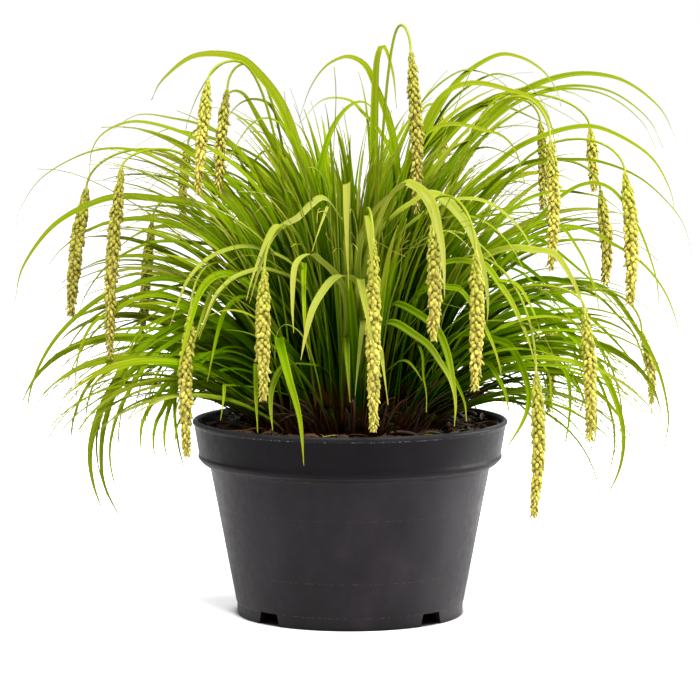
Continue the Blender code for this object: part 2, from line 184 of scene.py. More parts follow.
# Flower stems as seen from the front, in millimetres: x and height of the
# stem's highest point, of the spike's top and of the spike's tip, then the
# spike's width, and how far the spike hangs behind the pot's axis.
FRONT_VIEW_SPIKES = [
    (-200, 463, -261, 423, -278, 295, 15.0, 35),
    (-188, 463, -226, 443, -239, 258, 12.5, -60),
    (-172, 415, -196, 391, -210, 271, 10.5, 95),
    (-145, 483, -160, 467, -167, 383, 9.0, 135),
    (-113, 550, -140, 530, -153, 420, 11.5, -70),
    (-103, 547, -121, 521, -131, 413, 11.0, 35),
    (-132, 351, -158, 303, -164, 161, 13.5, -95),
    (-65, 388, -85, 341, -88, 220, 14.5, -170),
    (18, 405, 23, 373, 25, 193, 14.0, -200),
    (50, 585, 60, 558, 70, 402, 12.0, -55),
    (80, 507, 90, 497, 89, 440, 8.5, 120),
    (54, 430, 83, 391, 82, 279, 14.0, -180),
    (95, 417, 125, 359, 123, 229, 14.5, -150),
    (165, 512, 188, 488, 191, 401, 10.5, 60),
    (165, 515, 198, 471, 199, 345, 12.0, -60),
    (163, 518, 237, 483, 243, 418, 10.5, 130),
    (205, 452, 248, 421, 254, 327, 12.5, 20),
    (225, 473, 272, 439, 278, 309, 14.5, -30),
    (190, 328, 233, 305, 240, 176, 12.5, -110),
    (160, 315, 196, 293, 198, 198, 10.0, 80),
    (122, 357, 185, 241, 183, 100, 13.5, -120),
    (242, 323, 290, 282, 301, 207, 9.0, 60),
]
# The apexes of those whose spikes leaves hide in part.
COVERED_SPIKES = [(-172, 415), (-145, 483), (80, 507), (160, 315), (242, 323)]
# Flower stems behind the clump: azimuth in degrees, reach and height of the
# highest point and of the spike's top, then length and width.
BACK_SPIKES = [
    (72, 185, 430, 232, 385, 120, 12.0),
    (96, 200, 405, 252, 355, 115, 12.5),
    (118, 178, 455, 226, 410, 125, 12.0),
]

# Leaves that stand out in the photo: "side" for one that arches across the
# view and "over" for one that folds over towards the front, then its width,
# how far its tip is behind the axis, how pale it is, and an x and a height
# for each of some points along it.
SEEN_LEAVES = [
    ("side", 3.6, 20, 0.45, -170, 443, -212, 461, -256, 460, -304, 435, -328, 401, -329, 386),
    ("side", 3.6, -40, 0.55, -135, 461, -166, 479, -210, 490, -240, 481, -255, 462, -258, 431),
    ("side", 3.0, 60, 0.5, -170, 492, -203, 497, -223, 490, -244, 472),
    ("side", 3.0, 90, 0.4, -150, 477, -170, 481, -184, 481, -215, 463),
    ("side", 4.6, -30, 0.48, -170, 411, -224, 416, -258, 408, -295, 386, -324, 347, -333, 311),
    ("side", 5.0, 10, 0.36, -211, 329, -247, 315, -284, 284, -307, 251, -320, 213, -318, 178),
    ("side", 3.2, 60, 0.4, -230, 310, -260, 291, -281, 263, -287, 238, -286, 230),
    ("side", 3.2, -80, 0.5, -226, 308, -254, 291, -268, 265, -273, 236, -272, 215),
    ("side", 7.4, -60, 0.32, -177, 284, -210, 262, -234, 229, -251, 195, -259, 161, -256, 129, -245, 97),
    ("side", 5.0, -20, 0.28, -190, 265, -229, 229, -244, 190, -248, 155, -244, 125, -225, 86),
    ("side", 2.4, 30, 0.4, -232, 218, -250, 184, -252, 167, -251, 151),
    ("side", 4.0, 30, 0.4, -220, 261, -251, 239, -270, 210, -278, 176, -273, 150),
    ("side", 3.2, 60, 0.4, -222, 253, -254, 229, -263, 195, -260, 170),
    ("side", 5.0, -100, 0.4, -160, 247, -172, 238, -186, 225, -200, 205, -208, 184, -208, 152),
    ("side", 5.0, -90, 0.38, -160, 241, -174, 229, -185, 206, -193, 190, -196, 171, -193, 149),
    ("side", 4.2, -95, 0.4, -160, 239, -173, 224, -182, 198, -185, 178, -184, 163, -179, 147),
    ("side", 4.2, -85, 0.4, -166, 241, -173, 222, -174, 195, -172, 176, -168, 155, -160, 133),
    ("side", 3.2, -60, 0.4, -170, 263, -186, 249, -198, 224, -199, 206, -196, 190),
    ("side", 3.2, -50, 0.4, -190, 261, -205, 244, -208, 229, -213, 210, -215, 195),
    ("side", 6.6, 0, 0.55, -44, 435, -66, 502, -95, 542, -118, 555, -155, 554, -185, 531, -196, 511),
    ("side", 3.0, 10, 0.5,
     -40, 430, -62, 496, -88, 535, -110, 549, -130, 544, -149, 518, -161, 488, -162, 481),
    ("side", 4.8, 60, 0.4, -66, 450, -79, 473, -93, 498, -104, 516, -115, 520, -124, 512, -128, 495),
    ("side", 3.8, 30, 0.45, -68, 488, -80, 507, -95, 512, -108, 508, -118, 498, -125, 485),
    ("side", 5.0, 40, 0.5, 27, 520, 16, 544, 2, 553, -10, 552, -25, 543, -39, 523, -50, 493),
    ("side", 3.6, 20, 0.5, 14, 497, -1, 511, -27, 511, -50, 488),
    ("side", 5.0, 10, 0.42, -31, 439, -20, 477, -8, 498, 4, 508, 14, 509, 22, 503, 28, 492),
    ("side", 3.6, 20, 0.5, 17, 493, 15, 510, 12, 526, 8, 539),
    ("side", 6.8, 10, 0.5, 24, 433, 25, 510, 27, 550, 33, 564, 42, 538, 46, 503),
    ("side", 5.8, 60, 0.4, -10, 300, -10, 380, -13, 452),
    ("side", 4.8, 40, 0.35, -4, 300, -6, 390, -2, 470),
    ("side", 5.2, 0, 0.5, 76, 481, 104, 527, 142, 554, 168, 553, 191, 539, 205, 518, 208, 505),
    ("side", 5.2, 30, 0.4, 90, 435, 124, 478, 161, 513, 197, 531, 234, 537, 272, 529, 306, 503, 322, 473),
    ("side", 3.8, 100, 0.5, 97, 481, 130, 508, 164, 518, 208, 499, 231, 485),
    ("side", 5.2, -20, 0.55, 139, 442, 170, 466, 216, 483, 251, 482, 295, 457, 316, 424, 321, 399, 320, 389),
    ("side", 4.2, 0, 0.5, 208, 452, 246, 450, 288, 433, 323, 400, 336, 372, 338, 349),
    ("side", 5.2, -55, 0.6, 150, 523, 180, 513, 196, 493, 205, 458),
    ("side", 5.2, 0, 0.3, 203, 363, 236, 335, 266, 304, 287, 273),
    ("side", 4.6, 20, 0.32, 210, 332, 254, 323, 287, 280, 307, 242, 317, 196, 312, 162, 307, 146),
    ("side", 5.8, -50, 0.34, 210, 288, 241, 256, 260, 224, 272, 183, 269, 145, 252, 108),
    ("side", 4.2, 30, 0.4, 260, 303, 284, 274, 300, 217, 295, 169, 285, 152),
    ("side", 3.8, -40, 0.5, 250, 375, 288, 351, 314, 318, 329, 273, 328, 251),
    ("side", 4.2, 50, 0.4, 210, 313, 241, 293, 277, 256, 295, 222),
    ("side", 3.4, -30, 0.5, 275, 403, 289, 378, 302, 341, 306, 318, 305, 302, 303, 288),
    ("side", 3.2, -20, 0.5, 230, 419, 249, 415, 261, 407, 275, 395),
    ("side", 5.2, -130, 0.5, 140, 275, 161, 265, 177, 227, 174, 196, 152, 159),
    ("side", 4.0, -120, 0.5, 144, 241, 154, 222, 160, 193),
    ("side", 3.2, 40, 0.4, 180, 218, 193, 199, 198, 167),
    ("side", 4.2, -50, 0.45, 195, 261, 214, 242, 219, 214, 216, 178, 210, 157),
    ("side", 3.2, 20, 0.4, 210, 247, 225, 229, 223, 200),
    ("side", 3.2, 30, 0.4, 220, 233, 232, 214, 221, 183),
    ("over", 8.8, -246, 0.95, -3, 430, -3, 383, -1, 323),
    ("side", 5.5, -150, 1.0, -7, 391, -25, 414, -39, 408, -52, 395, -67, 387, -78, 375, -88, 351, -100, 310),
    ("side", 4.0, -170, 0.85, -83, 373, -91, 353, -98, 332, -103, 313),
    ("over", 4.5, -150, 1.0, -22, 407, -30, 385, -38, 361),
    ("side", 5.8, -246, 0.95, -28, 351, -39, 359, -54, 348, -57, 310, -56, 281),
    ("over", 5.8, -170, 0.6, -46, 351, -46, 313, -44, 275, -40, 254),
    ("side", 7.2, -246, 0.95, 8, 329, -3, 337, -15, 335, -26, 323, -37, 304, -44, 278, -49, 254),
    ("over", 8.0, -282, 0.9, 10, 334, 15, 307, 22, 272, 26, 248),
    ("side", 6.4, -110, 0.85, -82, 361, -100, 366, -118, 364, -141, 354, -160, 334, -171, 309, -180, 285),
    ("side", 6.0, -120, 0.52, -100, 328, -118, 339, -136, 336, -149, 321, -157, 299, -166, 263, -172, 238),
    ("over", 8.8, -262, 0.28, -71, 276, -66, 255, -60, 233, -54, 213, -50, 195, -48, 178, -46, 148),
    ("side", 5.0, -170, 0.7, -38, 248, -60, 249, -71, 241, -78, 223, -79, 206, -77, 183),
    ("over", 4.4, -130, 0.65, -125, 228, -126, 213, -129, 193),
    ("over", 6.2, -165, 0.6, -94, 248, -94, 223, -92, 181),
    ("over", 6.8, -140, 0.72, -4, 277, -2, 243, 0, 211),
    ("over", 5.2, -170, 1.0, 13, 293, 8, 249, 5, 218),
    ("over", 4.4, -268, 1.0, 31, 263, 35, 233, 38, 209),
    ("side", 6.2, -165, 0.68,
     30, 295, 42, 308, 53, 307, 75, 294, 88, 281, 96, 262, 101, 240, 105, 210, 104, 187),
    ("side", 6.0, -165, 0.76, 22, 278, 33, 288, 45, 290, 66, 277, 79, 267, 90, 251, 99, 235, 104, 215),
    ("over", 3.0, -160, 0.6, 66, 274, 72, 258, 73, 238, 76, 219, 76, 201),
    ("side", 2.6, -150, 0.7, 42, 247, 49, 252, 57, 252, 65, 244, 72, 233),
    ("side", 3.4, -150, 0.6, 97, 245, 105, 232, 114, 211, 116, 192),
    ("side", 4.2, -110, 0.85, 74, 399, 87, 407, 114, 414, 141, 408, 168, 385, 184, 357, 187, 348),
    ("side", 8.2, -140, 0.9, 60, 408, 77, 418, 96, 411, 117, 386, 128, 358, 135, 330, 137, 307, 136, 290),
    ("side", 4.0, -130, 0.8, 80, 377, 91, 382, 102, 380, 112, 372, 120, 364),
    ("side", 5.4, -135, 0.7, 120, 351, 134, 348, 150, 327, 161, 310, 176, 277, 185, 247),
    ("side", 8.0, -110, 0.85, 180, 363, 202, 359, 218, 338, 231, 309, 232, 295),
    ("side", 9.0, -228, 0.85, 28, 386, 36, 407, 48, 426, 59, 429, 80, 412, 90, 374, 93, 348, 94, 316),
    ("side", 5.0, -228, 0.85, 48, 423, 59, 430, 75, 410, 82, 391, 85, 380),
    ("over", 8.0, -268, 0.85, 18, 398, 21, 363, 24, 323),
    ("side", 4.4, -90, 0.55, 244, 218, 244, 204, 245, 185, 241, 153),
]


def unit(vectors):
    """The same directions with length one."""
    return vectors / np.maximum(np.linalg.norm(vectors, axis=-1, keepdims=True), 1e-12)


def compass(azimuth):
    """Level directions at an azimuth: outward, and a quarter turn on from it."""
    c, s = np.cos(azimuth), np.sin(azimuth)
    return np.stack([c, s, 0 * c], -1), np.stack([-s, c, 0 * c], -1)


def either(rng, chosen, first, second):
    """Random numbers from the first range where chosen, else from the second."""
    return np.where(chosen, rng.uniform(*first, len(chosen)), rng.uniform(*second, len(chosen)))


def build_mesh(name, points, quads, tris=None, floats=None, material_index=None):
    """A smooth mesh from arrays of points and faces, with float attributes."""
    tris = np.zeros((0, 3), int) if tris is None else tris
    mesh = bpy.data.meshes.new(name)
    mesh.vertices.add(len(points))
    mesh.vertices.foreach_set("co", np.asarray(points, np.float32).ravel())
    corners = np.concatenate([quads.ravel(), tris.ravel()]).astype(np.int32)
    starts = np.concatenate([4 * np.arange(len(quads)), 4 * len(quads) + 3 * np.arange(len(tris))])
    mesh.loops.add(len(corners))
    mesh.loops.foreach_set("vertex_index", corners)
    mesh.polygons.add(len(starts))
    mesh.polygons.foreach_set("loop_start", starts.astype(np.int32))
    mesh.polygons.foreach_set("use_smooth", np.ones(len(starts), bool))
    if material_index is not None:
        mesh.polygons.foreach_set("material_index", material_index.astype(np.int32))
    for key, values in (floats or {}).items():
        layer = mesh.attributes.new(key, "FLOAT", "POINT")
        layer.data.foreach_set("value", np.asarray(values, np.float32).ravel())
    mesh.update(calc_edges=True)
    mesh.validate()
    return mesh


def add_object(name, data):
    item = bpy.data.objects.new(name, data)
    bpy.context.scene.collection.objects.link(item)
    return item


def add_piece(name, mesh, materials, nodes=()):
    """Puts a mesh in the scene as a piece that stands for CAD nodes."""
    item = add_object(name, mesh)
    for material in materials:
        mesh.materials.append(material)
    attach(item, "root")
    if nodes:
        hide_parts(*nodes)


def ring_quads(rings, corners, first=0):
    """Quads that join rings of corners into a tube."""
    i, k = np.meshgrid(np.arange(rings - 1), np.arange(corners), indexing="ij")
    here = first + i * corners + k
    there = first + i * corners + (k + 1) % corners
    return np.stack([here, there, there + corners, here + corners], -1).reshape(-1, 4)


def end_fans(rings, corners):
    """Triangles that close both ends of a tube."""
    k = np.arange(1, corners - 1)
    first, last = np.stack([0 * k, k + 1, k], -1), np.stack([0 * k, k, k + 1], -1)
    return np.concatenate([first, last + corners * (rings - 1)])


# Materials

def shader_tree(name):
    """A new material with its node tree and its main shader."""
    material = bpy.data.materials.new(name)
    material.use_nodes = True
    tree = material.node_tree
    return material, tree, tree.nodes["Principled BSDF"]


def set_socket(socket, value):
    """Links an input to a socket, or sets it. A colour is three numbers."""
    if isinstance(value, bpy.types.NodeSocket):
        socket.id_data.links.new(value, socket)
    elif socket.type == "RGBA":
        socket.default_value = (*value, 1.0)
    else:
        socket.default_value = value


def add_node(kind, inputs, tree=None, **settings):
    """A shader node in a tree, or else in the tree of one of its inputs."""
    if tree is None:
        tree = next(value.id_data for value in inputs.values() if isinstance(value, bpy.types.NodeSocket))
    node = tree.nodes.new("ShaderNode" + kind)
    for key, value in settings.items():
        setattr(node, key, value)
    for key, value in inputs.items():
        set_socket(node.inputs[key], value)
    return node


def attribute(tree, name):
    return add_node("Attribute", {}, tree, attribute_type="GEOMETRY", attribute_name=name).outputs["Fac"]


def place(tree):
    """Where a point is, in metres."""
    return add_node("TexCoord", {}, tree).outputs["Object"]


def noise(vector, scale, detail=3.0, rough=0.55):
    inputs = {"Vector": vector, "Scale": scale, "Detail": detail, "Roughness": rough}
    return add_node("TexNoise", inputs).outputs["Fac"]


def stretched(vector, scale, centre=(0.0, 0.0, 0.0)):
    """A vector from a centre, with each of its parts multiplied by its own number."""
    start = [-c * s for c, s in zip(centre, scale)]
    return add_node("Mapping", {"Vector": vector, "Location": start, "Scale": scale}).outputs["Vector"]


def length_of(vector):
    return add_node("VectorMath", {0: vector}, operation="LENGTH").outputs["Value"]


def ramp(value, stops):
    """Colours at positions along a value."""
    node = add_node("ValToRGB", {"Fac": value})
    elements = node.color_ramp.elements
    while len(elements) < len(stops):
        elements.new(0.5)
    for element, (position, colour) in zip(elements, stops):
        element.position = position
        element.color = (*colour, 1.0)
    return node.outputs["Color"]


def grey_ramp(value, stops):
    return ramp(value, [(position, (level,) * 3) for position, level in stops])


def blend(factor, first, second):
    """Two colours mixed by a factor. A colour is a socket or three numbers."""
    inputs = {"Factor": factor, "A": first, "B": second}
    return add_node("Mix", inputs, data_type="RGBA").outputs["Result"]


def math_node(operation, first, second=0.0):
    return add_node("Math", {0: first, 1: second}, operation=operation).outputs["Value"]


def times(first, second):
    return math_node("MULTIPLY", first, second)


def plus(first, second):
    return math_node("ADD", first, second)


def minus(first, second):
    return math_node("SUBTRACT", first, second)


def wave(value, pace):
    return math_node("SINE", times(value, pace))


def bump(shader, height, strength, distance):
    node = add_node("Bump", {"Strength": strength, "Distance": distance, "Height": height})
    set_socket(shader.inputs["Normal"], node.outputs["Normal"])


def dress(shader, colour, rough, gloss=0.5):
    """Sets a shader's colour, roughness and specular level."""
    for key, value in (("Base Color", colour), ("Roughness", rough), ("Specular IOR Level", gloss)):
        set_socket(shader.inputs[key], value)


def leaf_material():
    """Green by tone and fine ribs with a dry tip, painted near black as shade in the clump's heart and at
    the leaves' feet.
    """
    material, tree, shader = shader_tree("sedge_leaf")
    along, across = attribute(tree, "along"), attribute(tree, "across")
    tone = plus(attribute(tree, "tone"), minus(times(along, 0.40), 0.23))
    # painted light and shade: one half of each blade lighter and the other darker, as on a lit fold
    tone = plus(tone, times(wave(across, 4.5), 0.15))
    green = ramp(tone, [
        (0.0, (0.009, 0.036, 0.0001)),
        (0.38, (0.062, 0.130, 0.0001)),
        (0.66, (0.158, 0.198, 0.0016)),
        (0.86, (0.180, 0.194, 0.0150)),
        (1.0, (0.196, 0.198, 0.0400)),
    ])
    streak = noise(stretched(place(tree), (900.0, 900.0, 60.0)), 1.0, 2.0)
    ribs = times(wave(across, 22.0), 0.06)
    # painted highlights: lighter towards both edges of each blade
    edge_highlight = grey_ramp(math_node("ABSOLUTE", across), [(0.62, 0.0), (1.0, 0.36)])
    light = blend(plus(plus(times(streak, 0.20), ribs), edge_highlight), green, (0.215, 0.240, 0.010))
    from_heart = length_of(stretched(place(tree), HEART_SCALE, HEART))
    # painted shade: the outer leaves, far from the heart, dulled towards mid green where the lamps light
    # them fully
    outer = grey_ramp(from_heart, [(0.64, 0.0), (0.98, 0.62)])
    light = blend(outer, light, (0.080, 0.096, 0.0040))
    spared = grey_ramp(tone, [(0.45, 1.0), (0.90, 0.42)])
    # painted shade: greener and darker colour in the heart of the clump, less on pale leaves
    inner = times(grey_ramp(from_heart, [(0.40, 0.85), (0.84, 0.0)]), spared)
    light = blend(inner, light, (0.106, 0.222, 0.0001))
    # painted shade: darker towards each leaf's foot and near black in the heart of the clump, pale leaves
    # spared part of it
    low = grey_ramp(along, [(0.0, 1.0), (0.18, 0.82), (0.55, 0.0)])
    heart = grey_ramp(from_heart, [(0.30, 1.0), (0.54, 0.62), (0.74, 0.0)])
    shade = times(math_node("MAXIMUM", low, heart), spared)
    deep = blend(shade, light, (0.0018, 0.0165, 0.0001))
    base = grey_ramp(along, [(0.0, 1.0), (0.06, 0.85), (0.14, 0.0)])
    brown = blend(base, deep, (0.040, 0.012, 0.003))
    dry = grey_ramp(along, [(0.78, 0.0), (0.96, 0.22), (1.0, 0.6)])
    rough = grey_ramp(shade, [(0.0, 0.50), (0.5, 0.80)])
    gloss = grey_ramp(tone, [(0.72, 0.0), (1.0, 0.08)])
    dress(shader, blend(dry, brown, (0.190, 0.150, 0.014)), rough, gloss)
    lit = blend(0.50, light, (0.17, 0.28, 0.001))
    # the translucent colour takes the same painted shade
    glow = add_node("BsdfTranslucent", {"Color": blend(shade, lit, (0.003, 0.012, 0.0001))})
    mix = add_node("MixShader", {0: 0.25, 1: shader.outputs["BSDF"], 2: glow.outputs["BSDF"]})
    set_socket(tree.nodes["Material Output"].inputs["Surface"], mix.outputs["Shader"])
    return material


def stem_material():
    material, tree, shader = shader_tree("sedge_stem")
    green = ramp(attribute(tree, "along"), [
        (0.0, (0.030, 0.010, 0.004)),
        (0.15, (0.046, 0.070, 0.0001)),
        (0.6, (0.105, 0.132, 0.0030)),
        (1.0, (0.150, 0.168, 0.020)),
    ])
    dress(shader, green, 0.55, 0.01)
    return material


def scale_material():
    """Spike scales: cream yellow, greener at the spike's top, some tanned, with painted shade at each
    scale's foot.
    """
    material, tree, shader = shader_tree("spike_scales")
    cream = ramp(attribute(tree, "tone"), [
        (0.0, (0.125, 0.108, 0.012)),
        (0.35, (0.195, 0.168, 0.024)),
        (0.75, (0.262, 0.230, 0.036)),
        (1.0, (0.345, 0.308, 0.060)),
    ])
    top = grey_ramp(attribute(tree, "along"), [(0.0, 0.80), (0.25, 0.45), (0.6, 0.0)])
    green = blend(top, cream, (0.150, 0.168, 0.008))
    tan = blend(attribute(tree, "ripe"), green, (0.108, 0.096, 0.010))
    # painted shade: darker at each scale's foot, where it tucks under the scales beside it
    shade = grey_ramp(attribute(tree, "foot"), [(0.0, 0.35), (0.25, 0.12), (0.5, 0.0)])
    dress(shader, blend(shade, tan, (0.105, 0.098, 0.006)), 0.55, 0.12)
    return material


def spike_core_material():
    material, tree, shader = shader_tree("spike_core")
    patches = noise(place(tree), 420.0)
    dress(shader, ramp(patches, [(0.3, (0.130, 0.120, 0.008)), (0.7, (0.250, 0.225, 0.020))]), 0.8)
    return material


def sheath_material():
    """Shoot bases: red-brown and fibrous, dark green at the top."""
    material, tree, shader = shader_tree("shoot_bases")
    fibre = noise(stretched(place(tree), (700.0, 700.0, 40.0)), 1.0, 4.0)
    red = ramp(fibre, [
        (0.3, (0.006, 0.002, 0.001)),
        (0.55, (0.034, 0.009, 0.004)),
        (0.8, (0.090, 0.034, 0.010)),
    ])
    green = ramp(attribute(tree, "tone"), [(0.0, (0.004, 0.005, 0.0005)), (1.0, (0.010, 0.013, 0.0005))])
    up = grey_ramp(plus(attribute(tree, "along"), times(fibre, 0.3)), [(0.75, 0.0), (1.2, 1.0)])
    dress(shader, blend(up, red, green), 0.85, 0.03)
    bump(shader, fibre, 0.5, 0.001)
    return material


def soil_material():
    material, tree, shader = shader_tree("potting_soil")
    grain = noise(place(tree), 260.0, 6.0, 0.7)
    dark = ramp(grain, [
        (0.35, (0.0010, 0.0007, 0.0005)),
        (0.60, (0.0050, 0.0030, 0.0018)),
        (0.80, (0.0200, 0.0100, 0.0050)),
    ])
    brown = grey_ramp(noise(place(tree), 45.0), [(0.52, 0.0), (0.78, 0.5)])
    dress(shader, blend(brown, dark, (0.018, 0.007, 0.003)), 0.95, 0.1)
    bump(shader, grain, 0.9, 0.003)
    return material


def litter_material():
    """Dry leaf shreds: brown when broad, straw or green when thin."""
    material, tree, shader = shader_tree("dry_litter")
    colour = ramp(attribute(tree, "tone"), [
        (0.0, (0.010, 0.004, 0.002)),
        (0.3, (0.045, 0.014, 0.004)),
        (0.6, (0.110, 0.046, 0.009)),
        (0.8, (0.180, 0.140, 0.020)),
        (1.0, (0.210, 0.240, 0.022)),
    ])
    worn = times(noise(place(tree), 350.0), 0.6)
    dress(shader, blend(worn, colour, (0.010, 0.004, 0.002)), 0.7, 0.2)
    return material


def level_line(height, level, width):
    """One within a thin level line round the pot, else nought."""
    return math_node("LESS_THAN", math_node("ABSOLUTE", minus(height, level)), width)


def pot_material():
    """Black plastic under a thin cloudy film of dust, with faint moulding lines, a painted sheen and painted
    glints on the lip.
    """
    material, tree, shader = shader_tree("pot_plastic")
    spot = place(tree)
    height = add_node("SeparateXYZ", {"Vector": spot}).outputs["Z"]
    cloud = noise(stretched(spot, (1.0, 1.0, 0.75)), 17.0, 5.0, 0.6)
    fine = noise(spot, 120.0, 4.0, 0.6)
    grit = noise(spot, 420.0, 2.0)
    streak = noise(stretched(spot, (60.0, 60.0, 4.0)), 1.0)
    base = ramp(cloud, [
        (0.34, (0.0008, 0.0003, 0.0009)),
        (0.50, (0.0026, 0.0016, 0.0029)),
        (0.68, (0.0064, 0.0048, 0.0070)),
    ])
    colour = blend(times(streak, 0.22), base, (0.0100, 0.0082, 0.0098))
    on_band = math_node("GREATER_THAN", height, BAND_START)
    colour = blend(times(on_band, 0.75), colour, (0.0006, 0.0004, 0.0007))
    marks = 0.0
    for level, width in MOULD_LINES:
        marks = math_node("MAXIMUM", level_line(height, level, width), marks)
    speck = grey_ramp(grit, [(0.52, 0.0), (0.60, 1.0)])
    colour = blend(times(times(marks, speck), 0.4), colour, (0.060, 0.028, 0.010))
    # painted sheen: the top of the lip lighter grey
    lip_top_sheen = grey_ramp(minus(height, LIP_UNDERSIDE[1]), [(0.0030, 0.0), (0.0055, 0.75)])
    colour = blend(lip_top_sheen, colour, (0.0150, 0.0155, 0.0165))
    # painted glints: bright specks along the lip's lower edge, where the mould's flash runs
    glint = grey_ramp(grit, [(0.54, 0.0), (0.62, 1.0)])
    painted_glints = times(level_line(height, *BRIGHT_LINE), glint)
    colour = blend(times(painted_glints, 0.4), colour, (0.130, 0.130, 0.135))
    rough = grey_ramp(times(plus(cloud, fine), 0.5), [(0.3, 0.38), (0.7, 0.60)])
    dress(shader, colour, rough, minus(0.113, times(on_band, 0.055)))
    bump(shader, fine, 0.15, 0.0012)
    return material


def floor_material():
    """Pale matt paper, painted near black under the pot as shadow, that stays near white away from the pot.
    """
    material, tree, shader = shader_tree("studio_floor")
    paper = ramp(noise(place(tree), 0.6), [(0.0, (0.595, 0.59, 0.60)), (1.0, (0.615, 0.61, 0.62))])
    away = length_of(place(tree))
    # painted shadow: near black under the pot's foot
    under = grey_ramp(away, [(0.110, 0.97), (0.118, 0.0)])
    dress(shader, blend(under, paper, (0.010, 0.010, 0.010)), 0.9, 0.1)
    set_socket(shader.inputs["Emission Color"], WHITE)
    glow = grey_ramp(away, [(0.10, 0.0), (0.30, 0.02), (1.0, 0.56)])
    set_socket(shader.inputs["Emission Strength"], glow)
    return material


# Pot

def wall_inside(height):
    """The pot's inner radius above its shoulder."""
    rise = (height - WALL_FOOT[1]) / (WALL_TOP[1] - WALL_FOOT[1])
    return WALL_FOOT[0] + (WALL_TOP[0] - WALL_FOOT[0]) * rise


def straight(start, end, shares):
    """Points at shares of the way from one to another."""
    return [tuple(a + (b - a) * share for a, b in zip(start, end)) for share in shares]


def pot_outline():
    """(radius, height) up the inside, over the lip and down the outside."""
    inside = [(0.0, 0.012), (0.106, 0.012), (0.1092, 0.0128), INSIDE_FOOT]
    inside += straight(INSIDE_FOOT, INSIDE_SHOULDER, (0.33, 0.66, 1.0))
    inside += [(0.1368, 0.1490), (0.1400, 0.1520), (0.1452, 0.1545), WALL_FOOT, (0.1515, 0.1905)]
    lip = [(0.1518, 0.1938), (0.1526, 0.1948), (0.1540, 0.1950), (0.1556, 0.1946), (0.1566, 0.1934)]
    lip += [(0.1569, 0.1920), (0.1564, 0.1906), (0.1554, 0.1895), LIP_UNDERSIDE]
    band = straight(LIP_UNDERSIDE, BAND_FOOT, (0.25, 0.5, 0.75, 1.0))
    band += [(0.1508, 0.1602), (0.1513, 0.1592), (0.1515, 0.1578), (0.1510, 0.1566)]
    band += [(0.1500, 0.1552), (0.1485, 0.1535), (0.1466, 0.1518), (0.1440, 0.1500), (0.1412, 0.1487)]
    body = [(0.1397, 0.1478), BODY_TOP] + straight(BODY_TOP, BODY_FOOT, (0.2, 0.4, 0.6, 0.8, 1.0))
    foot = [(0.1133, 0.0126), (0.1128, 0.0112), (0.1126, 0.0012), (0.1121, 0.0003), (0.1112, 0.0)]
    foot += [(0.1086, 0.0), (0.1077, 0.0003), (0.1074, 0.0012), (0.1066, 0.0088)]
    foot += [(0.1058, 0.0095), (0.0, 0.0095)]
    return inside + lip + band + body + foot


def lathe(name, outline, steps):
    """A closed body turned from an outline that starts and ends on the axis."""
    inner = np.array(outline[1:-1], float)
    k = np.arange(steps)
    rings = inner[:, None, :1] * compass(FULL_TURN * k / steps)[0] + inner[:, None, 1:] * UP
    points = np.concatenate([rings.reshape(-1, 3), [outline[0][1] * UP, outline[-1][1] * UP]])
    quads = ring_quads(len(inner), steps)[:, ::-1]
    first, last = len(points) - 2, len(points) - 1
    end = (len(inner) - 1) * steps
    caps = np.concatenate([
        np.stack([np.full(steps, first), k, (k + 1) % steps], -1),
        np.stack([np.full(steps, last), end + (k + 1) % steps, end + k], -1),
    ])
    return build_mesh(name, points, quads, caps)


def notch_cutter(index):
    """A wedge for one drain notch."""
    out, side = compass(math.radians(45.0 + 90.0 * index))
    points = []
    for reach in (NOTCH_INNER_RADIUS, NOTCH_OUTER_RADIUS):
        for height, width in ((-0.001, NOTCH_FOOT_WIDTH), (NOTCH_HEIGHT, NOTCH_TOP_WIDTH)):
            points += [reach * out + share * width * side + height * UP for share in (-0.5, 0.5)]
    faces = np.array([[0, 2, 3, 1], [4, 5, 7, 6], [0, 1, 5, 4], [2, 6, 7, 3], [0, 4, 6, 2], [1, 3, 7, 5]])
    return add_object(f"cut_{index}", build_mesh(f"cut_{index}", points, faces))


def make_pot():
    draft = add_object("pot_draft", lathe("pot_shell", pot_outline(), POT_STEPS))
    cutters = [notch_cutter(index) for index in range(4)]
    for index, cutter in enumerate(cutters):
        cut = draft.modifiers.new(f"notch_{index}", "BOOLEAN")
        cut.operation = "DIFFERENCE"
        cut.solver = "EXACT"
        cut.object = cutter
    shaped = draft.evaluated_get(bpy.context.evaluated_depsgraph_get())
    final = bpy.data.meshes.new_from_object(shaped)
    for item in [draft, *cutters]:
        bpy.data.objects.remove(item, do_unlink=True)
    final.materials.clear()
    add_piece("pot_body", final, [pot_material()], ["pot"])
    final.set_sharp_from_angle(angle=math.radians(50.0))


# Soil and litter

def crown_height(reach):
    return CROWN_SHOULDER + CROWN_RISE * (1.0 - (reach / CROWN_RADIUS) ** 2)


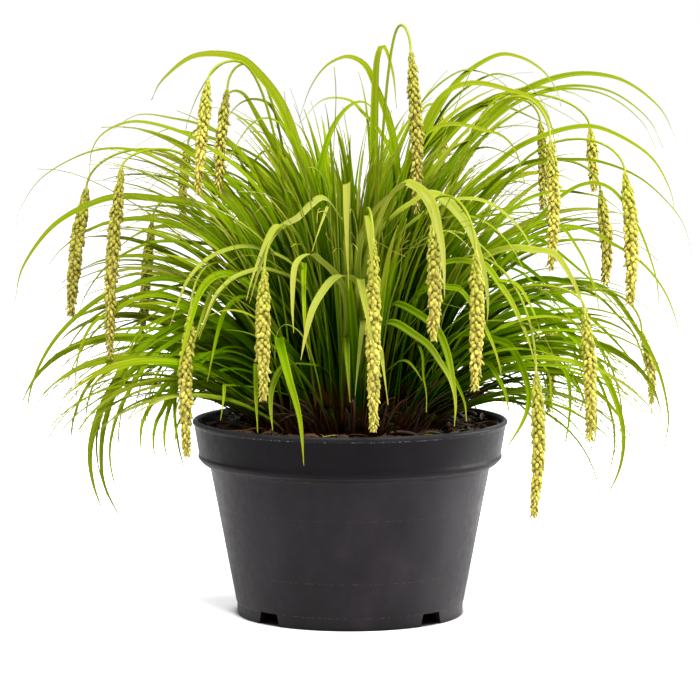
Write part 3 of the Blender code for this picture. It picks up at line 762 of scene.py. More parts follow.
def make_soil(rng):
    """The root ball with a crumbly top."""
    outer = wall_inside(SOIL_TOP + 0.002) - SOIL_GAP
    shares = np.linspace(0.0, 1.0, 46)[1:]
    outline = [(0.0, SOIL_TOP)]
    outline += [(outer * t, SOIL_TOP + 0.002 * max(t - 0.7, 0.0) / 0.3) for t in shares]
    outline += [(0.1469, 0.1575), (0.1355, 0.1484), (0.1087, 0.0124), (0.0, 0.0124)]
    mesh = lathe("soil_bed", outline, SOIL_STEPS)
    points = np.zeros(len(mesh.vertices) * 3, np.float32)
    mesh.vertices.foreach_get("co", points)
    points = points.reshape(-1, 3)
    top = points[:, 2] > SOIL_TOP - 0.0001
    inside = np.clip((outer - np.hypot(points[:, 0], points[:, 1])) / 0.004, 0.0, 1.0)
    lump = np.zeros(len(points))
    for _ in range(SOIL_WAVES):
        turn = rng.uniform(0, FULL_TURN)
        pace = rng.uniform(60, 420)
        phase = rng.uniform(0, FULL_TURN)
        lump += np.sin(pace * (points[:, 0] * math.cos(turn) + points[:, 1] * math.sin(turn)) + phase) / pace
    points[:, 2] += top * inside * (0.016 * lump + rng.normal(0, 0.0005, len(points)))
    mesh.vertices.foreach_set("co", points.ravel())
    mesh.update()
    add_piece("soil_bed", mesh, [soil_material()], ["soil"])


def soil_spots(rng, count, low=0.095, high=0.143):
    reach = np.sqrt(rng.uniform(low**2, high**2, count))
    turn = rng.uniform(0, FULL_TURN, count)
    return reach * np.cos(turn), reach * np.sin(turn)


def make_crumbs(rng):
    """Bark and soil crumbs that lie on the soil, each a distorted ball of 20 faces."""
    x, y = soil_spots(rng, CRUMBS, 0.06, 0.145)
    size = rng.uniform(0.0008, 0.0030, CRUMBS) * rng.uniform(0.6, 1.0, CRUMBS)
    golden = (1 + 5**0.5) / 2
    four = np.array([(-1, golden, 0), (1, golden, 0), (-1, -golden, 0), (1, -golden, 0)])
    ball = unit(np.vstack([np.roll(four, turn, 1) for turn in range(3)]))
    faces = np.array([
        (0, 11, 5), (0, 5, 1), (0, 1, 7), (0, 7, 10), (0, 10, 11),
        (1, 5, 9), (5, 11, 4), (11, 10, 2), (10, 7, 6), (7, 1, 8),
        (3, 9, 4), (3, 4, 2), (3, 2, 6), (3, 6, 8), (3, 8, 9),
        (4, 9, 5), (2, 4, 11), (6, 2, 10), (8, 6, 7), (9, 8, 1),
    ])
    stretch = rng.uniform(0.5, 1.5, (CRUMBS, 1, 3)) * size[:, None, None]
    rough = 1.0 + rng.uniform(-0.25, 0.25, (CRUMBS, len(ball), 1))
    centre = np.stack([x, y, SOIL_TOP + 0.0008 + 0.3 * size], -1)
    points = centre[:, None] + ball * rough * stretch
    tris = (faces + len(ball) * np.arange(CRUMBS)[:, None, None]).reshape(-1, 3)
    mesh = build_mesh("soil_crumbs", points.reshape(-1, 3), np.zeros((0, 4), int), tris)
    add_piece("soil_crumbs", mesh, [soil_material()])


def make_litter(rng):
    """Dry leaf shreds and thin strands lying on the soil, some against the wall."""
    count = LITTER_SHREDS
    x, y = soil_spots(rng, count)
    length = rng.uniform(0.010, 0.045, count)
    turn = rng.uniform(0, FULL_TURN, count)
    bend = rng.normal(0, 1.3, count)
    u = np.linspace(-0.5, 0.5, LITTER_SAMPLES)
    heading = turn[:, None] + bend[:, None] * u
    step = length[:, None] / (LITTER_SAMPLES - 1)
    px = x[:, None] + np.cumsum(np.cos(heading) * step, 1)
    py = y[:, None] + np.cumsum(np.sin(heading) * step, 1)
    shrink = np.minimum(1.0, LITTER_REACH / np.hypot(px, py))
    px, py = px * shrink, py * shrink
    rise = rng.uniform(0.0010, 0.0050, count)[:, None]
    arch = rng.uniform(0.0, 0.005, count)[:, None] * (1.0 - (2 * u) ** 2)
    pz = SOIL_TOP + 0.001 + rise + arch + 0.002 * np.clip((np.hypot(px, py) - 0.12) / 0.03, 0, 1)
    broad = rng.uniform(0, 1, count) < 0.45
    width = either(rng, broad, (0.0025, 0.006), (0.0007, 0.0014))
    taper = np.sin(np.pi * np.linspace(0.12, 0.93, LITTER_SAMPLES)) ** 0.6
    tone = either(rng, broad, (0.0, 0.62), (0.2, 1.0))
    twist = rng.normal(0, 0.5, (count, 1)) + rng.normal(0, 0.8, (count, 1)) * u
    shreds = (np.stack([px, py, pz], -1), compass(turn)[1], width[:, None] * taper, twist, tone, 0.12)
    add_blades("leaf_litter", [shreds], litter_material())


# Leaves

def ribbons(path, side, width, twist, tone, fold):
    """Closed leaf blades: two edges, a groove between them and a keel below."""
    count, samples = path.shape[:2]
    tangent = unit(np.gradient(path, axis=1))
    side = unit(side[:, None] - np.sum(side[:, None] * tangent, -1, keepdims=True) * tangent)
    over = np.cross(tangent, side)
    c, s = np.cos(twist)[..., None], np.sin(twist)[..., None]
    side, over = c * side + s * over, c * over - s * side
    width = width[..., None]
    half = 0.5 * width * side
    lift = np.broadcast_to(fold, samples)[:, None] * width * over
    keel = (KEEL_SHARE * width + LEAST_KEEL) * over
    rings = np.stack([path + half + lift, path, path - half + lift, path - keel], 2)
    first = 4 * samples * np.arange(count)[:, None, None]
    last = 4 * samples - 4
    caps = np.array([[3, 2, 1, 0], [last, last + 1, last + 2, last + 3]])
    quads = np.concatenate([(ring_quads(samples, 4) + first).reshape(-1, 4), (caps + first).reshape(-1, 4)])
    floats = {
        "tone": tone[:, None, None],
        "along": np.linspace(0, 1, samples)[:, None],
        "across": np.array([-1.0, 0.0, 1.0, 0.0]),
    }
    floats = {key: np.broadcast_to(value, (count, samples, 4)).reshape(-1) for key, value in floats.items()}
    return rings.reshape(-1, 3), quads, floats


def add_blades(name, batches, material, nodes=()):
    """A piece of blades, from batches of what ribbons takes."""
    parts = [ribbons(*batch) for batch in batches]
    firsts = np.cumsum([0] + [len(points) for points, _, _ in parts])
    points = np.concatenate([points for points, _, _ in parts])
    quads = np.concatenate([quads + first for (_, quads, _), first in zip(parts, firsts)])
    floats = {key: np.concatenate([part[2][key] for part in parts]) for key in parts[0][2]}
    mesh = build_mesh(name, points, quads, floats=floats)
    add_piece(name, mesh, [material], nodes)
    return mesh


def kept(keep, *values):
    return [value[keep] for value in values]


def bezier(start, leave, arrive, end, steps):
    """Points on a cubic curve."""
    t = np.linspace(0, 1, steps + 1)[:, None]
    rest = 1.0 - t
    return start * rest**3 + leave * 3 * rest**2 * t + arrive * 3 * rest * t**2 + end * t**3


def pull_from(foot, climb):
    """Where a curve that climbs from a foot pulls to: nearer to upright than the climb."""
    lean = LEAN_SHARE * math.atan2(climb[0], climb[1])
    return foot + FIRST_PULL * np.linalg.norm(climb) * np.array([math.sin(lean), math.cos(lean)])


def distances(line):
    """How far along a line each of its points is."""
    return np.concatenate([[0], np.cumsum(np.linalg.norm(np.diff(line, axis=0), axis=1))])


def even_steps(line, samples):
    """The same line with points at even distances along it."""
    far = distances(line)
    want = np.linspace(0, far[-1], samples)
    return np.stack([np.interp(want, far, line[:, axis]) for axis in range(line.shape[1])], -1)


def blade_width(samples, broad_to=0.30):
    """Width along a blade, as a share of its full width."""
    u = np.linspace(0, 1, samples)
    foot = 0.75 + 0.25 * np.minimum(u / 0.25, 1.0)
    return foot * (1.0 - np.clip((u - broad_to) / (1.0 - broad_to), 0, 1) ** 2.3)


def shoots(rng):
    """Where the shoots stand on the crown: x and y, share of its radius, azimuth."""
    i = np.arange(SHOOTS)
    share = np.sqrt((i + 0.5) / SHOOTS)
    turn = i * math.pi * (3 - 5**0.5) + rng.normal(0, 0.08, SHOOTS)
    reach = 0.93 * CROWN_RADIUS * share
    return np.stack([reach * np.cos(turn), reach * np.sin(turn)], -1), share, turn


def arcs(start, azimuth, lean, bend, onset, length, spread):
    """Leaf lines in space: each leaves its foot at a lean and bends over more and more."""
    share = (np.arange(LEAF_SAMPLES - 1) + 0.5) / (LEAF_SAMPLES - 1)
    angle = lean[:, None] + bend[:, None] * share ** onset[:, None]
    step = length[:, None] / (LEAF_SAMPLES - 1)
    still = np.zeros((len(start), 1))
    reach = np.hstack([still, np.cumsum(step * np.sin(angle), 1)])
    rise = np.hstack([still, np.cumsum(step * np.cos(angle), 1)])
    out, side = compass(azimuth)
    return within_spread(start, reach[..., None] * out[:, None] + rise[..., None] * UP, spread), side


def within_spread(start, offsets, spread):
    """The lines shrunk towards their feet where they pass a share of the clump's spread and top."""
    spots = start[:, None] + offsets
    beyond = np.hypot(spots[..., 0] / CLUMP_SPREAD[0], spots[..., 1] / CLUMP_SPREAD[1]).max(1)
    above = (offsets[..., 2].max(1) + start[:, 2]) / CLUMP_SPREAD[2]
    shrink = 1.0 / np.maximum(np.maximum(beyond, above) / spread, 1.0)
    return start[:, None] + offsets * shrink[:, None, None]


def clump_leaves(rng):
    """The mass of the clump: leaves in combed fans, shoot by shoot."""
    spots, share, turn = shoots(rng)
    which = np.repeat(np.arange(SHOOTS), LEAVES_PER_SHOOT)
    rank = np.tile((np.arange(LEAVES_PER_SHOOT) + 0.5) / LEAVES_PER_SHOOT - 0.5, SHOOTS)
    count = len(which)
    shoot_lean = 0.98 * share ** 1.7 + rng.normal(0, 0.10, SHOOTS)
    shoot_turn = turn + rng.normal(0, 0.14, SHOOTS) / np.maximum(share, 0.25)
    shoot_size = rng.normal(1.0, 0.07, SHOOTS)
    shoot_vigour = rng.uniform(0, 1, SHOOTS)
    lean = shoot_lean[which] + 0.26 * rank + rng.normal(0, 0.025, count)
    azimuth = shoot_turn[which] + rng.normal(0, 0.075, count)
    toward_front = np.maximum(-np.sin(azimuth), 0.0)
    azimuth = azimuth + PARTING * toward_front * np.sin(2 * azimuth - math.pi)
    toward_front = np.maximum(-np.sin(azimuth), 0.0)
    lean = np.clip(lean, -0.04, 1.12 - 0.78 * toward_front)
    vigour = 0.45 * shoot_vigour[which] + 0.55 * rng.uniform(0, 1, count)
    least, most = 0.30 + 1.45 * lean, 2.85 - 0.45 * lean
    mood = 0.70 * vigour + 0.30 * rng.uniform(0, 1, count)
    bend = least + (most - least) * mood ** np.interp(lean, (0.10, 0.50), (2.0, 1.0))
    bend = bend * (1.0 - 0.55 * toward_front)
    onset = np.clip(2.00 - 0.75 * lean + rng.normal(0, 0.15, count), 1.05, 2.6)
    length = np.interp(lean, LEANS, LENGTHS) * (0.50 + 0.56 * vigour) * shoot_size[which]
    length = length * (1.0 - 0.22 * toward_front)
    start = 1.02 * spots[which] + rng.normal(0, 0.0024, (count, 2))
    start = np.column_stack([start, rng.uniform(*LEAF_FEET, count)])
    path, side = arcs(start, azimuth, lean, bend, onset, length, rng.uniform(0.82, 1.0, count))
    drift = rng.normal(0, 0.010, (count, 1)) * ALONG_LEAF ** 1.6
    path = path + drift[..., None] * side[:, None]
    broad = rng.uniform(0, 1, count) < np.where(lean < 0.45, 0.55, 0.18)
    width = either(rng, broad, (0.0070, 0.0110), (0.0026, 0.0052))
    width = width * np.interp(lean, (0.65, 0.95), (1.0, 0.70))
    tone = np.clip(rng.normal(0.50, 0.08, SHOOTS)[which] + rng.normal(0, 0.20, count), 0.02, 0.86)
    twist = 0.55 * np.cos(azimuth)[:, None] + rng.normal(0, 0.40, (count, 1))
    twist = twist + rng.normal(0, 0.35, (count, 1)) * ALONG_LEAF ** 1.5
    thinned = rng.uniform(0, 1, count) < np.interp(lean, (0.39, 0.41, 1.0), (0.0, 0.50, 0.74))
    return kept(allowed(path) & ~thinned & ~before_front_leaves(path), path, side, width, tone, twist)


def wisps(rng):
    """Very thin leaves whose dry tips curl about over the front and top of the clump."""
    azimuth = rng.uniform(-0.95, -0.05, WISPS) * math.pi
    start = rng.uniform(0.02, 0.085, WISPS)[:, None] * compass(azimuth)[0] + WISP_FEET * UP
    lean = rng.uniform(0.0, 1.0, WISPS) * (1.0 - 0.60 * np.sin(azimuth) ** 2)
    length = rng.uniform(0.22, 0.40, WISPS)
    path, side = arcs(start, azimuth, lean, rng.uniform(0.5, 2.0, WISPS), np.full(WISPS, 1.8), length, 1.0)
    curl = np.clip((ALONG_LEAF - 0.55) / 0.45, 0, 1) ** 1.2
    phase = rng.uniform(0, FULL_TURN, (WISPS, 1))
    pace = rng.uniform(7.0, 16.0, (WISPS, 1))
    sway = rng.uniform(0.003, 0.009, (WISPS, 1)) * curl
    path = path + (sway * np.sin(pace * ALONG_LEAF + phase))[..., None] * side[:, None]
    path[..., 2] += sway * np.cos(1.3 * pace * ALONG_LEAF + phase)
    width = rng.uniform(0.0012, 0.0020, WISPS)
    tone = rng.uniform(0.6, 0.95, WISPS)
    twist = rng.normal(0, 0.8, (WISPS, 1)) + 0 * ALONG_LEAF
    return kept(allowed(path), path, side, width, tone, twist)


def make_dead_leaves(rng):
    """Thin brown leaves that splay low from the crown, some over the pot's lip."""
    count = DEAD_LEAVES
    azimuth = rng.uniform(-math.pi, math.pi, count)
    reach = rng.uniform(0.062, 0.090, count)
    long = rng.uniform(0, 1, count) < 0.35
    length = either(rng, long, (0.085, 0.150), (0.018, 0.050))
    rise = either(rng, long, (0.60, 0.90), (0.55, 1.30))
    sag = either(rng, long, (0.22, 0.42), (0.0, 0.16))
    far = reach[:, None] + (length * np.cos(rise))[:, None] * ALONG_LEAF
    climb = np.sin(rise)[:, None] * ALONG_LEAF - sag[:, None] * ALONG_LEAF ** 2
    height = DEAD_LEAF_FEET + length[:, None] * climb
    sway = rng.normal(0, 0.05, (count, 1)) * length[:, None] * ALONG_LEAF ** 1.5
    out, side = compass(azimuth)
    path = far[..., None] * out[:, None] + height[..., None] * UP + sway[..., None] * side[:, None]
    width = rng.uniform(0.0012, 0.0028, count)[:, None]
    wide = np.maximum(width * blade_width(LEAF_SAMPLES), 0.0004)
    twist = rng.normal(0, 0.7, (count, 1)) + 0 * ALONG_LEAF
    tone = rng.uniform(0.0, 0.40, count)
    leaves = kept((path[..., 2].min(1) > SOIL_TOP) & allowed(path), path, side, wide, twist, tone)
    add_blades("dead_leaves", [(*leaves, 0.15)], litter_material())


def clear_of_pot(path):
    """Leaves that pass over the lip, not through it, and stay in the box."""
    reach = np.hypot(path[..., 0], path[..., 1])
    low = (path[..., 2] < LIP_SPACE[2]) & (reach < LIP_SPACE[1]) & (reach > LIP_SPACE[0])
    in_box = (path > np.array(cad_low) - BOX_SLACK) & (path < np.array(cad_high) + BOX_SLACK)
    return ~low.any(1) & in_box.all((1, 2))


def seen_from_front(points):
    """x and height in the axis plane of where a point is seen from the front."""
    scale = EYE_DISTANCE / (EYE_DISTANCE + points[..., 1])
    return points[..., 0] * scale, EYE_HEIGHT - (EYE_HEIGHT - points[..., 2]) * scale


def in_view_rules(path):
    """Leaves on the front side don't hang before the pot or cross before a front spike."""
    x, height = seen_from_front(path)
    hides = ((path[..., 1] < -0.10) & (np.abs(x) < POT_IN_VIEW[0]) & (height < POT_IN_VIEW[1])).any(1)
    for row in FRONT_VIEW_SPIKES:
        if row[:2] in COVERED_SPIKES:
            continue
        _, _, top_x, top_z, tip_x, tip_z, width, depth = (value * MM for value in row)
        beside = x - np.interp(height, (tip_z, top_z), (tip_x, top_x))
        crosses = (beside[:, 1:] * beside[:, :-1] < 0) | (np.abs(beside[:, 1:]) < 0.4 * width)
        level = (height[:, 1:] > tip_z) & (height[:, 1:] < top_z + 0.010)
        hides |= (crosses & level & (path[:, 1:, 1] < depth)).any(1)
    return ~hides


def allowed(path):
    return clear_of_pot(path) & in_view_rules(path)


def in_pairs(numbers):
    """Millimetres as rows of x and height in metres."""
    return np.array(numbers, float).reshape(-1, 2) * MM


def before_front_leaves(path):
    """Leaves that cross before the broad leaves arching towards the front."""
    half_way = 0.5 * (path[:, 1:] + path[:, :-1])
    fine = np.concatenate([path[:, 1:], half_way, 0.5 * (half_way + path[:, :-1])], 1)
    x, height = seen_from_front(fine)
    crosses = np.zeros(len(path), bool)
    for kind, width, depth, _, *seen in SEEN_LEAVES:
        if width < BROAD or depth > WELL_FORWARD:
            continue
        spots = seen_path(kind, depth * MM, in_pairs(seen))[HIDDEN_SAMPLES:]
        spot_x, spot_z = seen_from_front(spots)
        away = np.hypot(x[..., None] - spot_x, height[..., None] - spot_z)
        near = away < (0.5 * width + 1.0) * MM
        crosses |= (near & (fine[..., 1, None] < spots[:, 1] - 0.002)).any((1, 2))
    return crosses


def smooth_line(points, samples):
    """A smooth line through points, with even steps."""
    ends = np.vstack([2 * points[0] - points[1], points, 2 * points[-1] - points[-2]])
    t = np.linspace(0, 1, 12, endpoint=False)[:, None]
    pieces = []
    for a, b, c, d in zip(ends, ends[1:], ends[2:], ends[3:]):
        square = (2 * a - 5 * b + 4 * c - d) * t**2
        pieces.append(0.5 * (2 * b + (c - a) * t + square + (3 * b - 3 * c + d - a) * t**3))
    return even_steps(np.vstack(pieces + [points[-1:]]), samples)


def seen_path(kind, depth, seen):
    """A leaf from its foot on the crown through points seen from the front, to a depth."""
    foot = np.array([np.clip(0.28 * seen[0, 0], *FOOT_ACROSS), FOOT_HEIGHT])
    foot_y = np.clip(0.33 * depth, *FOOT_DEPTH)
    climb = seen[0] - foot
    way = seen[1] - seen[0]
    way = way / np.linalg.norm(way)
    pull = 0.38 * np.linalg.norm(climb) if kind == "side" else 0.0
    arrive = seen[0] - pull * way
    hidden = bezier(foot, pull_from(foot, climb), arrive, seen[0], 35)[:-1]
    line = np.vstack([hidden, smooth_line(seen, 80)])
    far = distances(line)
    far = far / far[-1]
    ease = far**1.35
    if kind == "over":
        fold = np.clip((far - far[len(hidden)] + 0.20) / 0.42, 0, 1)
        ease = 0.35 * far + 0.65 * fold**2 * (3 - 2 * fold)
    y = foot_y + (depth - foot_y) * ease
    scale = (EYE_DISTANCE + y) / EYE_DISTANCE
    space = np.stack([line[:, 0] * scale, y, EYE_HEIGHT - (EYE_HEIGHT - line[:, 1]) * scale], -1)
    return even_steps(space, SEEN_SAMPLES)


def followers(rng, kind, width, depth, tone, seen):
    """Slimmer leaves that run beside a long arching one."""
    if kind == "over" or abs(seen[-1, 0]) < 0.15:
        return
    sizes, turning, widths = (0.80, 0.97), 0.030, (0.45, 0.80)
    if seen[-1, 1] < 0.20:
        sizes, turning, widths = (0.74, 0.97), 0.060, (0.25, 0.60)
    root = np.array([0.0, 0.22])
    for _ in range(FOLLOWERS):
        arm = (seen - root) * rng.uniform(*sizes)
        turn = rng.normal(0, turning)
        turned = np.stack([arm[:, 0] + turn * arm[:, 1], arm[:, 1] - turn * arm[:, 0]], -1)
        beside = width * rng.uniform(*widths)
        yield kind, beside, depth + rng.normal(0, 0.022), tone + rng.normal(-0.04, 0.12), root + turned


def seen_leaves(rng):
    """The leaves that stand out and their followers, carried from the front view to their depths."""
    rows = []
    for kind, width, depth, tone, *seen in SEEN_LEAVES:
        if kind == "side":
            width = min((1.7 if seen[1] > 400 else 1.4) * width, WIDEST)
        row = (kind, width * MM, depth * MM, tone, in_pairs(seen))
        rows += [(row, True)] + [(other, False) for other in followers(rng, *row)]
    leaves = []
    for (kind, width, depth, tone, seen), stands_out in rows:
        path = seen_path(kind, depth, seen)
        if not stands_out and not allowed(path[None])[0]:
            continue
        flat = path[-1, :2] - path[0, :2]
        flat = flat / max(np.linalg.norm(flat), 1e-6)
        side = np.array([-flat[1], flat[0], 0.0])
        face = math.copysign(0.85, side[1]) * abs(flat[0]) ** 0.7
        twist = face + rng.normal(0, 0.12) + rng.normal(0, 0.25) * np.linspace(0, 1, SEEN_SAMPLES)
        leaves.append((path, side, width, tone, twist))
    return [np.array(values) for values in zip(*leaves)]


def tuft_azimuths():
    """Azimuth of each of the CAD's tufts, by name."""
    azimuths = {}
    for name in sorted(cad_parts):
        if name.startswith("leaf_tuft_"):
            low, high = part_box(name)
            azimuths[name] = math.atan2(low.y + high.y, low.x + high.x)
    return azimuths


def make_leaves(rng):
    """All leaves, each in the piece of the CAD tuft whose side it grows on."""
    material = leaf_material()
    tufts = tuft_azimuths()
    angles = np.array(list(tufts.values()))
    batches = []
    for path, side, width, tone, twist in (clump_leaves(rng), seen_leaves(rng), wisps(rng)):
        samples = path.shape[1]
        fold = 0.10 + 0.16 * (1 - np.linspace(0, 1, samples)) ** 1.5
        shares = blade_width(samples, 0.45 if samples == SEEN_SAMPLES else 0.30)
        wide = np.maximum(width[:, None] * shares, LEAST_WIDTH)
        middle = path[:, samples // 2]
        away = np.arctan2(middle[:, 1], middle[:, 0])[:, None] - angles
        owner = np.abs((away + np.pi) % (2 * np.pi) - np.pi).argmin(1)
        batches.append((path, side, wide, twist, tone, fold, owner))
    for number, tuft in enumerate(tufts):
        mine = [(*kept(owner == number, *leaves), fold) for *leaves, fold, owner in batches]
        crease_edges(add_blades(f"leaves_{number + 1:02d}", mine, material, [tuft]))


def crease_edges(mesh):
    """Marks both edges of every blade as sharp, so that its faces shade apart."""
    edges = np.zeros(len(mesh.edges) * 2, np.int32)
    mesh.edges.foreach_get("vertices", edges)
    corner = edges.reshape(-1, 2) % 4
    sharp = (corner[:, 0] == corner[:, 1]) & (corner[:, 0] % 2 == 0)
    mark = mesh.attributes.new("sharp_edge", "BOOLEAN", "EDGE")
    mark.data.foreach_set("value", sharp)


# Crown

def make_crown(rng):
    """The shoots' bases: fluted, tapering sheaths that stand on the soil."""
    corners, rings = 8, 5
    each = corners * rings
    ladder = np.linspace(0, 1, rings)
    points, tones = [], []
    for spot, part, angle in zip(*shoots(np.random.default_rng(SHOOT_SEED))):
        lean = 0.62 * part + rng.normal(0, 0.05)
        tall = rng.uniform(0.022, 0.044)
        wide = rng.uniform(0.0030, 0.0046)
        level_out, side = compass(angle)
        way = math.sin(lean) * level_out + math.cos(lean) * UP
        out = np.cross(side, way)
        foot = np.array([*(0.93 * spot), SOIL_TOP - 0.004])
        spin = rng.uniform(0, FULL_TURN)
        for level in ladder:
            radius = wide * (1.0 - 0.62 * level ** 0.8) * (1.0 + 0.1 * math.sin(3 * level))
            centre = foot + way * tall * level + out * 0.004 * level**2
            for turn in FULL_TURN * np.arange(corners) / corners:
                flute = radius * (1.0 + 0.14 * math.cos(4 * turn))
                around = spin + turn
                points.append(centre + flute * (math.cos(around) * out * 0.8 + math.sin(around) * side))
        tones += [rng.uniform(0, 1)] * each
    starts = each * np.arange(SHOOTS)[:, None, None]
    quads = (ring_quads(rings, corners) + starts).reshape(-1, 4)
    tris = (end_fans(rings, corners) + starts).reshape(-1, 3)
    floats = {"tone": tones, "along": np.tile(np.repeat(ladder, corners), SHOOTS)}
    mesh = build_mesh("shoot_bases", np.array(points), quads, tris, floats)
    add_piece("shoot_bases", mesh, [sheath_material()], ["crown"])


# Flower stems and spikes

def seen_at_depth(x, height, depth):
    """The point at a depth that is seen at an x and a height from the front."""
    scale = (EYE_DISTANCE + depth) / EYE_DISTANCE
    return Vector((x * scale, depth, EYE_HEIGHT - (EYE_HEIGHT - height) * scale))


def seen_in_plane(x, height, azimuth):
    """(reach, height) in the upright plane at an azimuth of what is seen at an x and a height."""
    slope = math.tan(azimuth)
    true_x = x / (1.0 - x * slope / EYE_DISTANCE)
    return np.array([true_x / math.cos(azimuth), seen_at_depth(x, height, true_x * slope).z])


def spike_rows():
    """Azimuth, apex, spike top, way to the spike's tip and width of every flower stem."""
    for row in FRONT_VIEW_SPIKES:
        apex_x, apex_z, top_x, top_z, tip_x, tip_z, width, depth = (value * MM for value in row)
        spot = seen_at_depth(top_x, top_z, depth)
        azimuth = math.atan2(spot.y, spot.x)
        top = np.array([math.hypot(spot.x, spot.y), spot.z])
        hang = np.array([(tip_x - top_x) * math.cos(azimuth), tip_z - top_z])
        yield azimuth, seen_in_plane(apex_x, apex_z, azimuth), top, hang, width
    for azimuth, *row in BACK_SPIKES:
        apex_r, apex_z, top_r, top_z, length, width = (value * MM for value in row)
        hang = np.array([0.006, -length])
        yield math.radians(azimuth), np.array([apex_r, apex_z]), np.array([top_r, top_z]), hang, width


def stem_line(apex, top):
    """(reach, height) along a stem from the crown over its apex to its spike's top."""
    reach = LOW_STEM_REACH
    if apex[1] >= LOW_STEM_HEIGHT:
        reach = min(max(0.3 * apex[0], HIGH_STEM_REACH[0]), HIGH_STEM_REACH[1])
    foot = np.array([reach, crown_height(reach) - 0.010])
    climb, fall = apex - foot, top - apex
    rise = bezier(foot, pull_from(foot, climb), apex - (0.52 * climb[0], 0), apex, 24)
    drop = bezier(apex, apex + (0.62 * fall[0], 0), top - (0, 0.48 * fall[1]), top, 20)
    return np.concatenate([rise, drop[1:]])


def tube(path, side, radius):
    """Points and faces of a closed tube along a path in space."""
    tangent = unit(np.gradient(path, axis=0))
    side = unit(side - np.sum(side * tangent, -1, keepdims=True) * tangent)[:, None]
    out = np.cross(side, tangent[:, None])
    angle = (FULL_TURN * np.arange(TUBE_CORNERS) / TUBE_CORNERS)[:, None]
    rings = path[:, None] + radius[:, None, None] * (np.cos(angle) * out + np.sin(angle) * side)
    size = (len(path), TUBE_CORNERS)
    return rings.reshape(-1, 3), ring_quads(*size), end_fans(*size)


def utricle():
    """One spike scale of unit length along -Z, with its beak at the far end."""
    levels = [(0.10, 0.60), (0.42, 1.0), (0.78, 0.70)]
    corners = 5
    k = np.arange(corners)
    angle = FULL_TURN * k / corners + 0.5 * math.pi
    rings = [np.stack([0.5 * wide * np.cos(angle), 0.46 * wide * np.sin(angle), 0 * k - level], -1)
             for level, wide in levels]
    points = np.vstack([0 * UP, *rings, -UP])
    last = 1 + (len(levels) - 1) * corners
    top = np.stack([0 * k, 1 + (k + 1) % corners, 1 + k], -1)
    end = np.stack([0 * k + len(points) - 1, last + k, last + (k + 1) % corners], -1)
    return points, ring_quads(len(levels), corners, 1), np.concatenate([top, end])


def spike_radius(share, width):
    body = np.sin(np.pi * (0.035 + 0.885 * share)) ** 0.50
    return 0.5 * width * body * (1.0 - 0.38 * share)


def spike_scales(rng, curve, out, length, width):
    """Points and faces of a spike's overlapping scales, and each point's share of the way down."""
    shape, quads, tris = utricle()
    rows = int(length / (0.5 * SCALE_PITCH))
    row = np.arange(rows)
    share = (row + 0.2) / rows
    u = np.linspace(0, 1, len(curve))
    spot = np.stack([np.interp(share, u, curve[:, axis]) for axis in range(3)], -1)
    heading = unit(np.gradient(spot, axis=0))
    out = unit(out - np.sum(out * heading, -1, keepdims=True) * heading)[:, None]
    heading = heading[:, None]
    spiral = FULL_TURN * (np.arange(SCALE_COLUMNS) + 0.5 * (row % 2)[:, None]) / SCALE_COLUMNS
    angle = spiral + 0.05 * row[:, None] + rng.normal(0, 0.24, (rows, SCALE_COLUMNS))
    radial = np.cos(angle)[..., None] * out + np.sin(angle)[..., None] * np.cross(heading, out)
    around = np.cross(heading, radial)
    tilt = (0.12 + 0.36 * np.minimum(share / 0.2, 1.0))[:, None, None]
    tilt = tilt + rng.normal(0, 0.19, (rows, SCALE_COLUMNS, 1))
    down = np.cos(tilt) * heading + np.sin(tilt) * radial
    thick = np.cross(down, around)
    radius = spike_radius(share, width)[:, None, None]
    long = SCALE_PITCH * 1.15 * (0.72 + 0.28 * radius / radius.max())
    long = long * rng.uniform(0.72, 1.2, (rows, SCALE_COLUMNS, 1))
    wide = math.pi * radius / SCALE_COLUMNS * 1.50 * rng.uniform(0.78, 1.12, (rows, SCALE_COLUMNS, 1))
    seat = spot[:, None] + radial * radius * 0.62 - heading * 0.3 * long
    axes = (seat, -down * long, around * wide, thick * wide)
    seat, down, around, thick = (axis[:, :, None] for axis in axes)
    points = seat + down * shape[:, 2:] + around * shape[:, :1] + thick * shape[:, 1:2]
    first = len(shape) * np.arange(rows * SCALE_COLUMNS)[:, None, None]
    share = np.repeat(share, SCALE_COLUMNS * len(shape))
    foot = np.tile(-shape[:, 2], rows * SCALE_COLUMNS)
    return points.reshape(-1, 3), (quads + first).reshape(-1, 4), (tris + first).reshape(-1, 3), share, foot


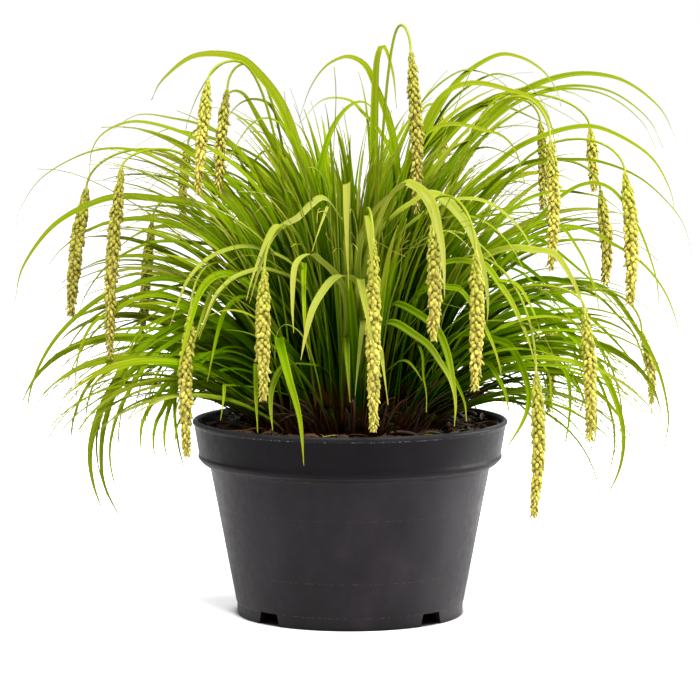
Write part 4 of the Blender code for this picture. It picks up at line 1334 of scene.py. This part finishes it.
def make_spikes(rng):
    """Each stem and spike: a tube along both, with scales round its lower part."""
    materials = [stem_material(), spike_core_material(), scale_material()]
    for number, (azimuth, apex, top, hang, width) in enumerate(spike_rows(), start=1):
        out, side = compass(azimuth)
        stem = stem_line(apex, top)[:-1]
        u = np.linspace(0, 1, SPIKE_SAMPLES)
        bow = np.sin(np.pi * u) * rng.uniform(*SPIKE_BOW)
        hanging = top + u[:, None] * hang + np.stack([bow, 0 * u], -1)
        flat = np.vstack([stem, hanging])
        path = flat[:, :1] * out + flat[:, 1:] * UP
        thin = np.linspace(1.0, 0.85, len(stem)) * STEM_RADIUS
        radius = np.concatenate([thin, np.maximum(CORE_SHARE * spike_radius(u, width), LEAST_CORE)])
        points, quads, caps = tube(path, side, radius)
        scales = spike_scales(rng, path[len(stem):], out, np.linalg.norm(hang), width)
        scale_points, scale_quads, scale_tris, share, foot = scales
        count, each = len(points), len(utricle()[0])
        tone = np.clip(rng.normal(0.55, 0.22, len(scale_points) // each), 0, 1)
        ripe = 0.55 if number in RIPE_SPIKES else rng.uniform(0.0, 0.25)
        along = np.repeat(np.concatenate([np.linspace(0, 1, len(stem)), u]), TUBE_CORNERS)
        floats = {
            "tone": np.concatenate([np.full(count, 0.5), np.repeat(tone, each)]),
            "along": np.concatenate([along, share]),
            "ripe": np.full(count + len(share), ripe),
            "foot": np.concatenate([np.ones(count), foot]),
        }
        on_stem = TUBE_CORNERS * (len(stem) - 1)
        fan = len(caps) // 2
        parts = (on_stem, len(quads) - on_stem, len(scale_quads) + len(scale_tris), fan, fan)
        mesh = build_mesh(
            f"spike_{number:02d}",
            np.concatenate([points, scale_points]),
            np.concatenate([quads, scale_quads + count]),
            np.concatenate([scale_tris + count, caps]),
            floats,
            np.repeat([0, 1, 2, 0, 1], parts),
        )
        add_piece(f"spike_{number:02d}", mesh, materials, [f"flower_stem_{number:02d}"])


# Studio

def make_stage():
    mesh = build_mesh("floor", FLOOR_CORNERS, np.array([[0, 1, 2, 3]]))
    mesh.materials.append(floor_material())
    floor = add_object("floor", mesh)


def turn_towards(item, aim):
    item.rotation_euler = (Vector(aim) - item.location).to_track_quat("-Z", "Y").to_euler()


def make_studio():
    world = bpy.data.worlds.new("studio")
    world.use_nodes = True
    sky = world.node_tree.nodes["Background"]
    set_socket(sky.inputs["Color"], WHITE)
    set_socket(sky.inputs["Strength"], 1.0)
    scene = bpy.context.scene
    scene.world = world
    scene.view_settings.view_transform = "Standard"
    scene.view_settings.look = "None"
    for name, spot, aim_height, size, power, colour in LIGHTS:
        data = bpy.data.lights.new(name, "AREA")
        data.shape = "DISK"
        data.size = size
        data.energy = power
        data.color = colour
        item = add_object(name, data)
        item.location = spot
        turn_towards(item, (0.0, 0.0, aim_height))


def make_camera():
    data = bpy.data.cameras.new("camera")
    item = add_object("camera", data)
    item.location = (0.0, -EYE_DISTANCE, CAMERA_HEIGHT)
    aim = Vector((0.0, 0.0, AIM_HEIGHT))
    turn_towards(item, aim)
    data.sensor_width = SENSOR_WIDTH
    data.lens = SENSOR_WIDTH * (aim - item.location).length / FRAME_WIDTH_AT_AXIS
    data.clip_end = 100.0
    bpy.context.scene.camera = item


make_stage()
make_studio()
make_camera()
make_pot()
make_soil(np.random.default_rng(1))
make_crumbs(np.random.default_rng(2))
make_litter(np.random.default_rng(3))
make_crown(np.random.default_rng(4))
make_leaves(np.random.default_rng(SHOOT_SEED))
make_dead_leaves(np.random.default_rng(8))
make_spikes(np.random.default_rng(6))
